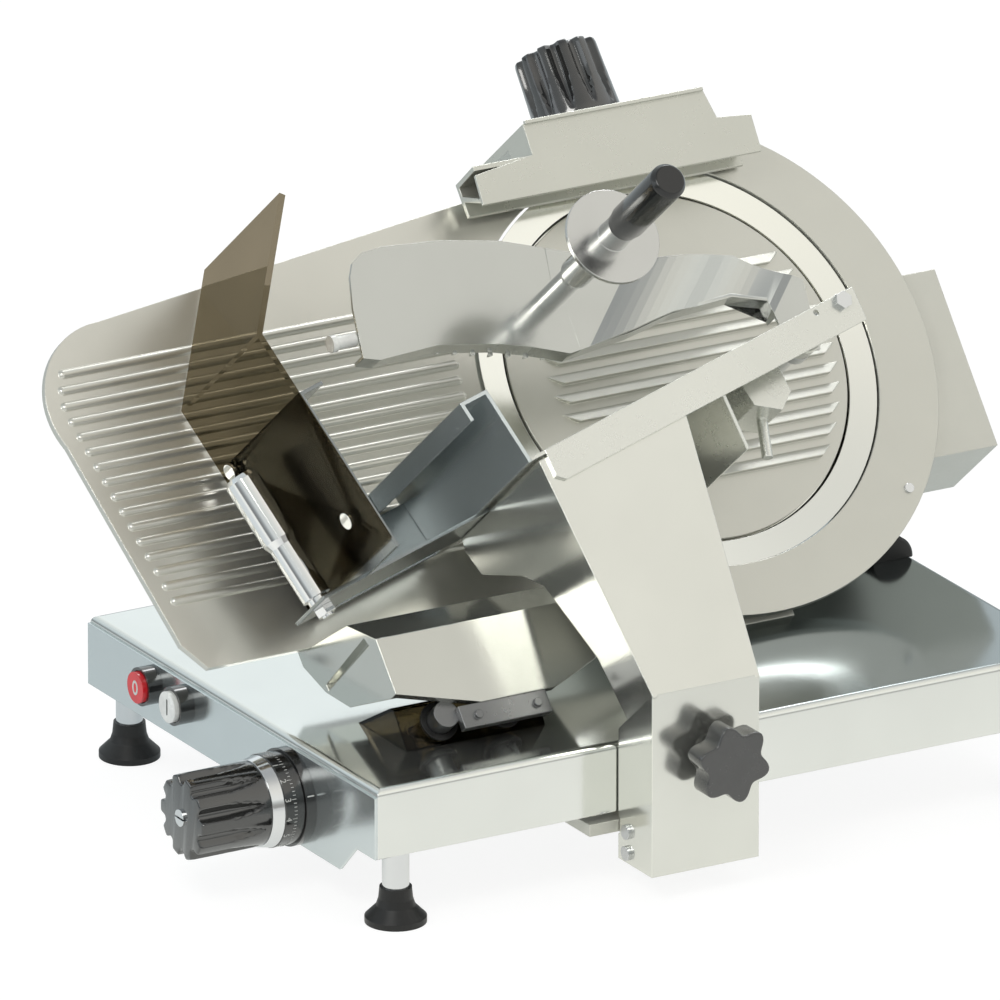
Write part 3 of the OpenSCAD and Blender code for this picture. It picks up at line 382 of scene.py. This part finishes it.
def fluted_knob(name, matrix, rows, lobes, depth, width, skirt, arc, material, body, node):
    """A knob drawn up from rows of (height, radius), hollowed by flutes that end in pointed arcs."""
    bm = bmesh.new()
    ring = bmesh.ops.create_circle(bm, segments=lobes * 16, radius=rows[0][1])["verts"]

    def settle(verts, height, radius):
        share = (height - skirt) / arc
        for vert in verts:
            turn = math.atan2(vert.co.y, vert.co.x)
            reach = radius - depth * valley(turn, share, lobes, width)
            vert.co = Vector((math.cos(turn) * reach, math.sin(turn) * reach, height))

    settle(ring, *rows[0])
    edges = list(bm.edges)
    base = bmesh.ops.contextual_create(bm, geom=edges)["faces"]
    for row in rows[1:]:
        made = bmesh.ops.extrude_edge_only(bm, edges=edges)["geom"]
        edges = [e for e in made if isinstance(e, bmesh.types.BMEdge)]
        settle([v for v in made if isinstance(v, bmesh.types.BMVert)], *row)
    cap = bmesh.ops.contextual_create(bm, geom=edges)["faces"]
    if len(base) != 1 or len(cap) != 1:
        raise RuntimeError("the fluted knob did not close")
    bmesh.ops.transform(bm, matrix=matrix, verts=bm.verts)
    return add_piece(name, mesh_from(bm, name, 40), material, body, (node,))


def thicken(bm, faces, depth):
    """Raises flat faces in the XY plane by a depth, leaving a closed thin plate."""
    made = bmesh.ops.extrude_face_region(bm, geom=faces)["geom"]
    for vert in (v for v in made if isinstance(v, bmesh.types.BMVert)):
        vert.co.z += depth


def oval_ring(bm, tall, wide, stroke, depth):
    """A raised oval ring round the origin."""
    outer = bmesh.ops.create_circle(bm, segments=48, radius=1)["verts"]
    made = bmesh.ops.extrude_edge_only(bm, edges=list(bm.edges))["geom"]
    for vert in outer:
        vert.co = Vector((vert.co.x * wide / 2, vert.co.y * tall / 2, 0))
    for vert in (v for v in made if isinstance(v, bmesh.types.BMVert)):
        vert.co = Vector((vert.co.x * (wide / 2 - stroke), vert.co.y * (tall / 2 - stroke), 0))
    thicken(bm, list(bm.faces), depth)


def rounded_bar(bm, tall, wide, depth, place=(0, 0)):
    """A raised bar with rounded ends."""
    before = set(bm.faces)
    verts = bmesh.ops.create_grid(bm, x_segments=1, y_segments=1, size=0.5)["verts"]
    for vert in verts:
        vert.co = Vector((vert.co.x * wide + place[0], vert.co.y * tall + place[1], 0))
    bmesh.ops.bevel(bm, geom=verts, offset=wide * 0.45, offset_type="OFFSET", segments=4,
                    profile=0.5, affect="VERTICES", material=-1)
    thicken(bm, [f for f in bm.faces if f not in before], depth)


def figures(text, size):
    """The flat outline of a number as a mesh, centred on the origin."""
    curve = bpy.data.curves.new("figures", "FONT")
    curve.body = text
    curve.size = size
    curve.align_x = "CENTER"
    curve.align_y = "CENTER"
    curve.resolution_u = 3
    written = bpy.data.objects.new("figures", curve)
    mesh = bpy.data.meshes.new_from_object(written)
    bpy.data.objects.remove(written)
    bpy.data.curves.remove(curve)
    return mesh


def wrap_round(bm, centre, radius, y, start=0.0):
    """Bends a flat drawing round a cylinder along Y; its X runs round and its Y along the cylinder."""
    for vert in bm.verts:
        turn = start + vert.co.x / radius
        reach = radius + vert.co.z
        vert.co = Vector((centre.x + math.sin(turn) * reach, y + vert.co.y,
                          centre.z + math.cos(turn) * reach))


class SlicerFinish(PropertyGroup):
    """Colours of the finishes"""

    sheet: FloatVectorProperty(name="Sheet metal", description="Colour of the folded sheets",
                               subtype="COLOR", size=3, default=(0.81, 0.815, 0.765))
    base: FloatVectorProperty(name="Base metal", description="Colour of the mirror-like base shell",
                              subtype="COLOR", size=3, default=(0.84, 0.855, 0.825))
    # Dark colour for the painted reflection on the base's top at the rear
    base_rear: FloatVectorProperty(name="Painted reflection on the base top", description="Colour of the base's top at the rear",
                                   subtype="COLOR", size=3, default=(0.31, 0.345, 0.35))
    cast: FloatVectorProperty(name="Cast metal", description="Colour of the guard, cover and housing",
                              subtype="COLOR", size=3, default=(0.68, 0.675, 0.62))
    # Sheet colour made cooler and darker: painted shade for the sheets that face the operator
    panel: FloatVectorProperty(name="Cool sheet in painted shade", description="Colour of the sheets that face the operator",
                               subtype="COLOR", size=3, default=(0.72, 0.77, 0.78))
    steel: FloatVectorProperty(name="Steel", description="Colour of rods and screws",
                               subtype="COLOR", size=3, default=(0.62, 0.63, 0.64))
    smoke: FloatVectorProperty(name="Smoked plastic", description="Colour seen through the hand guard",
                               subtype="COLOR", size=3, default=(0.225, 0.190, 0.130))
    black: FloatVectorProperty(name="Black plastic", description="Colour of the knobs and grips",
                               subtype="COLOR", size=3, default=(0.011, 0.011, 0.011))
    red: FloatVectorProperty(name="Red plastic", description="Colour of the stop button",
                             subtype="COLOR", size=3, default=(0.72, 0.02, 0.03))


class SlicerTrim(PropertyGroup):
    """Sizes of the small trim"""

    mark_depth: FloatProperty(name="Mark depth", description="How far a printed mark stands proud",
                              subtype="DISTANCE", unit="LENGTH", default=0.0002, min=0.0001, max=0.001)
    dial_marks: IntProperty(name="Dial marks", description="Graduations round the dial",
                            default=75, min=15, max=150)
    dial_numbers: IntProperty(name="Dial numbers", description="Numbers round the dial",
                              default=15, min=5, max=25)
    figure_size: FloatProperty(name="Figure size", description="Height of a dial number",
                               subtype="DISTANCE", unit="LENGTH", default=0.0075, min=0.003, max=0.01)
    grip_lobes: IntProperty(name="Grip lobes", description="Lobes round the thickness grip",
                            default=10, min=8, max=14)
    sharpener_lobes: IntProperty(name="Sharpener knob lobes", description="Lobes round the sharpener knob",
                                 default=12, min=8, max=16)
    knob_round: FloatProperty(name="Knob rounding", description="Radius of a knob's softened edges",
                              subtype="DISTANCE", unit="LENGTH", default=0.0016, min=0.0002, max=0.004)


class SlicerStudio(PropertyGroup):
    """Floor, lamps and camera"""

    floor: FloatProperty(name="Floor size", description="Side of the pale floor",
                         subtype="DISTANCE", unit="LENGTH", default=60.0, min=5, max=200)
    key: FloatProperty(name="Key lamp", description="Power of the lamp over the operator's right shoulder",
                       default=16.0, min=0, max=500)
    fill: FloatProperty(name="Fill lamp", description="Power of the wide lamp on the operator's side",
                        default=8.0, min=0, max=500)
    top: FloatProperty(name="Top lamp", description="Power of the small lamp over the rear left",
                       default=9.0, min=0, max=500)
    sky: FloatProperty(name="Surroundings", description="Strength of the light all round",
                       default=1.06, min=0, max=2)
    lens: FloatProperty(name="Lens", description="Focal length of the camera in millimetres",
                        default=1000.0, min=50, max=2000)


def seen_directly(tree):
    """1 for rays from the camera or through clear plastic, otherwise 0."""
    path = tree.nodes.new("ShaderNodeLightPath")
    seen = tree.nodes.new("ShaderNodeMath")
    seen.operation = "MAXIMUM"
    tree.links.new(path.outputs["Is Camera Ray"], seen.inputs[0])
    tree.links.new(path.outputs["Is Transmission Ray"], seen.inputs[1])
    return path, seen.outputs["Value"]


def make_floor(scene, size):
    """A pale floor: white with soft shadows to the eye, warm and cool patches in reflections."""
    bm = bmesh.new()
    bmesh.ops.create_grid(bm, x_segments=1, y_segments=1, size=size / 2)
    mesh = bpy.data.meshes.new("floor")
    bm.to_mesh(mesh)
    bm.free()
    floor = bpy.data.objects.new("floor", mesh)
    floor.location.z = -0.0002
    scene.collection.objects.link(floor)
    material, tree, shader = new_material("pale floor")
    shader.inputs["Base Color"].default_value = (0.9, 0.9, 0.9, 1)
    shader.inputs["Roughness"].default_value = 0.9
    shader.inputs["Specular IOR Level"].default_value = 0.0
    path, seen = seen_directly(tree)
    where = tree.nodes.new("ShaderNodeTexCoord")
    split = tree.nodes.new("ShaderNodeSeparateXYZ")
    tree.links.new(where.outputs["Object"], split.inputs["Vector"])
    across = spread_between(tree, split.outputs["X"], -0.9, 0.9, 0.0, 1.0)
    side = ramp_through(tree, across, ((0.0, (0.50, 0.56, 0.58)), (0.42, (0.60, 0.66, 0.67)),
                                       (0.60, (0.98, 0.985, 0.93)), (0.85, (0.86, 0.86, 0.82)),
                                       (1.0, (0.74, 0.75, 0.73))))
    whole = blend_colours(tree, seen, side.outputs["Color"], (1.13, 1.13, 1.13))
    glow = tree.nodes.new("ShaderNodeEmission")
    tree.links.new(whole, glow.inputs["Color"])
    share = tree.nodes.new("ShaderNodeMath")
    share.operation = "MAXIMUM"
    tree.links.new(seen, share.inputs[0])
    tree.links.new(path.outputs["Is Glossy Ray"], share.inputs[1])
    amount = tree.nodes.new("ShaderNodeMath")
    amount.operation = "MULTIPLY"
    amount.inputs[1].default_value = 0.76
    tree.links.new(share.outputs["Value"], amount.inputs[0])
    blend = tree.nodes.new("ShaderNodeMixShader")
    tree.links.new(amount.outputs["Value"], blend.inputs["Fac"])
    tree.links.new(shader.outputs["BSDF"], blend.inputs[1])
    tree.links.new(glow.outputs["Emission"], blend.inputs[2])
    tree.links.new(blend.outputs["Shader"], tree.nodes["Material Output"].inputs["Surface"])
    mesh.materials.append(material)


def make_surroundings(scene, strength):
    """White to the eye; for light and reflections a dark horizon, a bright band and a dimmer zenith."""
    world = bpy.data.worlds.new("studio")
    scene.world = world
    world.use_nodes = True
    tree = world.node_tree
    back = tree.nodes["Background"]
    back.inputs["Strength"].default_value = strength
    where = tree.nodes.new("ShaderNodeTexCoord")
    split = tree.nodes.new("ShaderNodeSeparateXYZ")
    tree.links.new(where.outputs["Generated"], split.inputs["Vector"])
    height = spread_between(tree, split.outputs["Z"], -1, 1, 0, 1)
    rise = ramp_through(tree, height, ((0.0, (0.5, 0.5, 0.5)), (0.49, (0.36, 0.36, 0.36)),
                                       (0.56, (0.38, 0.38, 0.385)), (0.62, (0.62, 0.65, 0.66)),
                                       (0.67, (0.95, 0.97, 0.98)), (0.82, (0.90, 0.90, 0.88)),
                                       (0.90, (0.80, 0.80, 0.79)), (1.0, (0.42, 0.43, 0.44))))
    across = spread_between(tree, split.outputs["X"], -1, 1, 0, 1)
    side = ramp_through(tree, across, ((0.0, (0.93, 0.985, 1.0)), (0.5, (0.98, 0.99, 0.98)),
                                       (0.75, (1.0, 0.985, 0.94)), (1.0, (1.0, 0.98, 0.92))))
    along = spread_between(tree, split.outputs["Y"], -1, 1, 0, 1)
    depth = ramp_through(tree, along, ((0.0, (0.55, 0.58, 0.60)), (0.35, (0.72, 0.75, 0.77)),
                                       (0.6, (1.0, 1.0, 1.0)), (1.0, (1.0, 1.0, 1.0))))
    tinted = blend_colours(tree, 1.0, rise.outputs["Color"], side.outputs["Color"], "MULTIPLY")
    tinted = blend_colours(tree, 1.0, tinted, depth.outputs["Color"], "MULTIPLY")
    tree.links.new(tinted, back.inputs["Color"])
    white = tree.nodes.new("ShaderNodeBackground")
    white.inputs["Color"].default_value = (1, 1, 1, 1)
    white.inputs["Strength"].default_value = 1.0
    seen = seen_directly(tree)[1]
    blend = tree.nodes.new("ShaderNodeMixShader")
    tree.links.new(seen, blend.inputs["Fac"])
    tree.links.new(back.outputs["Background"], blend.inputs[1])
    tree.links.new(white.outputs["Background"], blend.inputs[2])
    tree.links.new(blend.outputs["Shader"], tree.nodes["World Output"].inputs["Surface"])


def make_lamp(scene, name, way, distance, aim, power, size, colour):
    """A square-edged soft lamp at a distance from an aim, facing it."""
    data = bpy.data.lights.new(name, "AREA")
    data.energy = power
    data.shape = "RECTANGLE"
    data.size, data.size_y = size
    data.color = colour
    lit = bpy.data.objects.new(name, data)
    lit.location = Vector(aim) + Vector(way).normalized() * distance
    lit.rotation_mode = "QUATERNION"
    lit.rotation_quaternion = Vector(way).to_track_quat("Z", "Y")
    scene.collection.objects.link(lit)


def make_camera(scene, lens):
    """The photograph's view: 60 degrees round to the right and 20 degrees up, from far away."""
    turn, rise = math.radians(60), math.radians(20)
    back_way = Vector((math.sin(turn) * math.cos(rise), -math.cos(turn) * math.cos(rise), math.sin(rise)))
    right = Vector((math.cos(turn), math.sin(turn), 0))
    up = back_way.cross(right)
    picture, sensor = 1000, 36
    # Pixels to a metre at the blade, and the pixel that its centre falls on
    per_metre = 1240.0
    across, down = 677.7, 365.5
    aim_at = BLADE + right * ((picture / 2 - across) / per_metre) - up * ((picture / 2 - down) / per_metre)
    data = bpy.data.cameras.new("camera")
    data.sensor_width = sensor
    data.lens = lens
    data.clip_end = 200
    camera = bpy.data.objects.new("camera", data)
    camera.location = aim_at + back_way * (picture / per_metre * lens / sensor)
    camera.rotation_mode = "QUATERNION"
    camera.rotation_quaternion = back_way.to_track_quat("Z", "Y")
    scene.collection.objects.link(camera)
    scene.camera = camera


class SLICER_OT_stage(Operator):
    """Makes the pale floor, the lamps, the surroundings and the camera"""

    bl_idname = "slicer.stage"
    bl_label = "Stage"

    def execute(self, context):
        studio = context.scene.slicer_studio
        scene = context.scene
        make_floor(scene, studio.floor)
        make_surroundings(scene, studio.sky)
        aim = (0, 0, 0.25)
        make_lamp(scene, "key", (0.42, -0.62, 0.66), 2.6, aim, studio.key, (0.9, 0.9), (1.0, 0.985, 0.95))
        make_lamp(scene, "fill", (-0.2, -0.93, 0.3), 3.0, aim, studio.fill, (2.6, 1.4), (0.92, 0.97, 1.0))
        make_lamp(scene, "top", (-0.48, 0.46, 0.745), 2.8, aim, studio.top, (0.8, 0.6), (0.98, 0.99, 1.0))
        make_camera(scene, studio.lens)
        scene.view_settings.view_transform = "Standard"
        return {"FINISHED"}


class SLICER_OT_sheets(Operator):
    """Finishes the base shell, arm, table and the other folded sheets"""

    bl_idname = "slicer.sheets"
    bl_label = "Folded sheets"

    def execute(self, context):
        finish = context.scene.slicer_finish
        sheet, panel = tuple(finish.sheet), tuple(finish.panel)
        dress(metal("arm sheet", sheet, roughness=0.16, metallic=0.9), "carriage_arm")
        dress(metal("table sheet", sheet, roughness=0.26, metallic=0.85, grain_depth=FAINT_GRAIN),
              "product_table")
        dress(base_metal(tuple(finish.base), tuple(finish.base_rear)), "base_shell")
        # Control panel and near wall take the operator-side colour, whose cooler, darker tone is painted
        # shade
        dress(metal("front sheet", panel, roughness=0.2, metallic=0.92), "control_panel")
        dress(metal("wall sheet", panel, roughness=0.24, metallic=0.85, grain_depth=FAINT_GRAIN), "near_wall")
        # The plate behind the smoked hand guard: its colour is cut to 0.4 as painted shade
        dress(metal("bracket plate painted shade", tuple(c * 0.4 for c in panel), roughness=0.24, metallic=0.9,
                    grain_depth=FAINT_GRAIN), "guard_bracket")
        dress(metal("bracket sheet", tuple(c * 0.78 for c in sheet), roughness=0.15, metallic=0.92),
              "gauge_bracket")
        dress(metal("base floor", tuple(finish.steel), roughness=0.45), "base_plate")
        return {"FINISHED"}


class SLICER_OT_castings(Operator):
    """Finishes the ring guard, cover, housing, gauge plate, pusher and sharpener"""

    bl_idname = "slicer.castings"
    bl_label = "Castings"

    def execute(self, context):
        finish = context.scene.slicer_finish
        cast = tuple(finish.cast)
        dress(metal("guard casting", cast, roughness=0.34, metallic=0.8, tone=0.02), "ring_guard",
              "blade_cover")
        dress(metal("housing casting", cast, roughness=0.4, metallic=0.7, tone=0.03), "blade_housing",
              "slide_block", "driven_pulley")
        dress(metal("gauge casting", (0.72, 0.71, 0.655), roughness=0.33, metallic=0.85, tone=0.015,
                    grain_depth=FAINT_GRAIN), "gauge_plate")
        casting = metal("pusher casting", (0.62, 0.63, 0.605), roughness=0.17, metallic=0.92, edge=0.0002)
        softened("pusher_plate", "pusher_face", 0.0009, casting, "pusher", 2,
                 beside="pusher_arm")
        softened("pusher_arm", "pusher_neck", 0.0006, casting, "pusher", 2,
                 beside="pusher_plate")
        dress(metal("sharpener casting", (0.68, 0.68, 0.62), roughness=0.3, metallic=0.75),
              "sharpener_housing")
        return {"FINISHED"}


class SLICER_OT_steel(Operator):
    """Finishes the blade, rods, screws, legs, bushes and motor"""

    bl_idname = "slicer.steel"
    bl_label = "Steel"

    def execute(self, context):
        finish = context.scene.slicer_finish
        steel = tuple(finish.steel)
        dress(metal("blade steel", (0.95, 0.955, 0.90), roughness=0.13, metallic=1.0, tone=0.01, edge=0.0004),
              "blade")
        dress(metal("polished steel", tuple(min(1, c * 1.25) for c in steel), roughness=0.12, metallic=1.0,
                    edge=0.0006), "foot_legs", "guide_rod", "pusher_rod", "ring_guard_screws",
              "thickness_shaft")
        dress(metal("clamp steel", tuple(c * 0.33 for c in steel), roughness=0.3, metallic=0.9), "bar_clamp",
              "gauge_bars")
        dress(metal("stem steel", (0.66, 0.66, 0.645), roughness=0.2, metallic=0.95), "pusher_stem")
        dress(metal("chrome", (0.93, 0.935, 0.94), roughness=0.07, metallic=1.0, tone=0.01, edge=0.0006),
              "push_handle")
        dress(metal("plain steel", steel, roughness=0.3, metallic=0.95), "arm_screws", "blade_screws",
              "blade_spindle", "gauge_fork", "gauge_guide_block", "motor_pulley",
              "pusher_collars", "sharpener_post", "spindle_bearings")
        dress(metal("bronze", (0.52, 0.34, 0.14), roughness=0.35, metallic=1.0), "slide_bushes")
        dress(metal("motor paint", (0.06, 0.065, 0.07), roughness=0.45, metallic=0.1), "motor")
        return {"FINISHED"}


class SLICER_OT_plastics(Operator):
    """Finishes the smoked, rubber and plain plastic pieces and the two stones"""

    bl_idname = "slicer.plastics"
    bl_label = "Plastics"

    def execute(self, context):
        finish = context.scene.slicer_finish
        black = tuple(finish.black)
        dress(smoked("smoked plastic", tuple(finish.smoke)), "hand_guard")
        dress(smoked("smoked cover", tuple(c * 1.5 for c in finish.smoke), 0.06, 1.2), "gauge_shroud")
        dress(moulded("black rubber", black, 0.42, pebble=0.15), "foot_pads", "bar_grommets", "drive_belt",
              "cable_gland")
        dress(moulded("black plastic", black, 0.16, coat=0.8, gloss=0.8), "thickness_flange",
              "thickness_dial", "button_bezels", "cover_knob")
        dress(moulded("dark plastic", (0.03, 0.032, 0.032), 0.4), "switch_bodies")
        dress(moulded("red plastic", tuple(finish.red), 0.22, coat=0.4), "stop_button")
        dress(moulded("white plastic", (0.84, 0.84, 0.82), 0.25, coat=0.3), "start_button", "pusher_peg",
              "roller_front", "roller_rear")
        dress(moulded("pink abrasive", (0.45, 0.25, 0.2), 0.9, pebble=0.6), "grinding_stone")
        dress(moulded("grey abrasive", (0.2, 0.18, 0.16), 0.9, pebble=0.6), "truing_stone")
        return {"FINISHED"}


class SLICER_OT_grips(Operator):
    """Makes the two fluted knobs, the star knob and the round grip"""

    bl_idname = "slicer.grips"
    bl_label = "Knobs and grips"

    def execute(self, context):
        finish = context.scene.slicer_finish
        trim = context.scene.slicer_trim
        soft = trim.knob_round
        gloss = moulded("knob plastic", tuple(finish.black), 0.14, coat=1.0, gloss=1.0, pebble=0.02)
        handled = moulded("grip plastic", tuple(finish.black), 0.2, coat=0.45, gloss=0.5, pebble=0.02)
        satin = moulded("star knob plastic", (0.045, 0.045, 0.045), 0.25, coat=0.7, gloss=0.8)

        low, high = box_of("thickness_grip")
        centre = (low + high) / 2
        radius, long = (high.z - low.z) / 2, high.y - low.y
        place = frame_at((centre.x, high.y, centre.z), (0, -1, 0), (0, 0, 1))
        rows = [(0.0, radius - 0.001), (long * 0.05, radius - 0.0008)]
        rows += [(long * (0.08 + 0.86 * k / 18), radius - 0.0008) for k in range(19)]
        rows += [(long - soft * 0.6, radius - 0.0011), (long - soft * 0.15, radius - 0.0019),
                 (long, radius - 0.0032)]
        fluted_knob("fluted_grip", place, rows, trim.grip_lobes, 0.0062, 0.6, long * 0.12, long * 0.42,
                    gloss, "thickness_control", "thickness_grip")

        knob = NODES["sharpener_knob"]
        points = [knob.matrix_world @ v.co for v in knob.data.vertices]
        lift = [p.dot(UP) for p in points]
        out = [p.dot(OUT) for p in points]
        wide = [p.y for p in points]
        radius, long = (max(wide) - min(wide)) / 2, max(lift) - min(lift)
        foot = UP * min(lift) + OUT * ((max(out) + min(out)) / 2) + ALONG * ((max(wide) + min(wide)) / 2)
        rows = [(0.0, radius - 0.0012), (long * 0.06, radius - 0.0006)]
        rows += [(long * (0.10 + 0.83 * k / 18), radius - 0.0006 - 0.0012 * k / 18) for k in range(19)]
        rows += [(long - soft * 0.8, radius - 0.0024), (long - soft * 0.25, radius - 0.0034),
                 (long, radius - 0.0052)]
        fluted_knob("fluted_sharpener_knob", frame_at(foot, UP, ALONG), rows, trim.sharpener_lobes, 0.0055,
                    0.66, long * 0.1, long * 0.5, gloss, "sharpener_dial",
                    "sharpener_knob")

        softened("lock_knob", "star_knob", soft, satin, "lock")
        softened("pusher_grip", "round_grip", soft, handled, "pusher")
        return {"FINISHED"}


# Lengths and width of the dial's graduations, and how far they and the numbers lie from its edge
LONG_MARK, SHORT_MARK, MARK_WIDE = 0.0042, 0.0026, 0.0005
MARK_LINE, FIGURE_LINE = 0.0073, 0.015
# The index line's share of the flange, its width and its turn from the top
INDEX_SHARE, INDEX_WIDE, INDEX_TURN = 0.7, 0.001, math.radians(72)
# Height, width and stroke of the stop sign, and height and width of the start sign
STOP_SIGN = (0.0125, 0.0088, 0.0021)
START_SIGN = (0.0135, 0.0018)


class SLICER_OT_marks(Operator):
    """Prints the dial's graduations and numbers, the index line and the signs on the buttons"""

    bl_idname = "slicer.marks"
    bl_label = "Printed marks"

    def execute(self, context):
        trim = context.scene.slicer_trim
        depth = trim.mark_depth
        white = moulded("printed white", (0.72, 0.72, 0.70), 0.4, pebble=0.02)
        grey = moulded("printed grey", (0.10, 0.10, 0.10), 0.4, pebble=0.02)

        low, high = box_of("thickness_dial")
        centre, radius = (low + high) / 2, (high.z - low.z) / 2
        pitch = 2 * math.pi * radius / trim.dial_marks
        every = max(1, trim.dial_marks // trim.dial_numbers)
        bm = bmesh.new()
        for k in range(trim.dial_marks):
            long = LONG_MARK if k % every == 0 else SHORT_MARK
            rounded_bar(bm, long, MARK_WIDE, depth, (k * pitch, -MARK_LINE - long / 2))
        for k in range(trim.dial_numbers):
            flat = figures(str(k), trim.figure_size)
            before = set(bm.verts)
            bm.from_mesh(flat)
            bpy.data.meshes.remove(flat)
            for vert in (v for v in bm.verts if v not in before):
                vert.co = Vector((vert.co.x + k * every * pitch, vert.co.y - FIGURE_LINE, 0))
            thicken(bm, [f for f in bm.faces if f.verts[0] not in before], depth)
        wrap_round(bm, centre, radius, high.y)
        add_piece("dial_marks", mesh_from(bm, "dial_marks"), white, "thickness_control")

        low, high = box_of("thickness_flange")
        centre, radius = (low + high) / 2, (high.z - low.z) / 2
        bm = bmesh.new()
        rounded_bar(bm, (high.y - low.y) * INDEX_SHARE, INDEX_WIDE, depth)
        wrap_round(bm, centre, radius, centre.y, INDEX_TURN)
        add_piece("index_mark", mesh_from(bm, "index_mark"), white, "base")

        for node, name, body, material, slot in (
                ("stop_button", "stop_sign", "stop", white, "white_plastic"),
                ("start_button", "start_sign", "start", grey, "dark_plastic")):
            low, high = box_of(node)
            bm = bmesh.new()
            if name == "stop_sign":
                oval_ring(bm, *STOP_SIGN, depth)
            else:
                rounded_bar(bm, *START_SIGN, depth)
            face = ((low.x + high.x) / 2, low.y, (low.z + high.z) / 2)
            bmesh.ops.transform(bm, verts=bm.verts, matrix=frame_at(face, (0, -1, 0), (1, 0, 0)))
            add_piece(name, mesh_from(bm, name), material, body)
        return {"FINISHED"}


class SLICER_PT_panel(Panel):
    """Lists the steps that dress the slicer"""

    bl_idname = "SLICER_PT_panel"
    bl_label = "Slicer"
    bl_space_type = "VIEW_3D"
    bl_region_type = "UI"
    bl_category = "Slicer"

    def draw(self, context):
        column = self.layout.column()
        for group in (context.scene.slicer_finish, context.scene.slicer_trim, context.scene.slicer_studio):
            for name in group.__annotations__:
                column.prop(group, name)
        for step in STEPS:
            column.operator(step.bl_idname)


GROUPS = (("slicer_finish", SlicerFinish), ("slicer_trim", SlicerTrim), ("slicer_studio", SlicerStudio))
STEPS = (SLICER_OT_sheets, SLICER_OT_castings, SLICER_OT_steel, SLICER_OT_plastics, SLICER_OT_grips,
         SLICER_OT_marks, SLICER_OT_stage)


def register():
    for name, group in GROUPS:
        bpy.utils.register_class(group)
        setattr(bpy.types.Scene, name, PointerProperty(type=group))
    for step in STEPS:
        bpy.utils.register_class(step)
    bpy.utils.register_class(SLICER_PT_panel)


def unregister():
    bpy.utils.unregister_class(SLICER_PT_panel)
    for step in reversed(STEPS):
        bpy.utils.unregister_class(step)
    for name, group in reversed(GROUPS):
        delattr(bpy.types.Scene, name)
        bpy.utils.unregister_class(group)


def main():
    register()
    bpy.ops.slicer.sheets()
    bpy.ops.slicer.castings()
    bpy.ops.slicer.steel()
    bpy.ops.slicer.plastics()
    bpy.ops.slicer.grips()
    bpy.ops.slicer.marks()
    bpy.ops.slicer.stage()


if __name__ == "__main__":
    main()
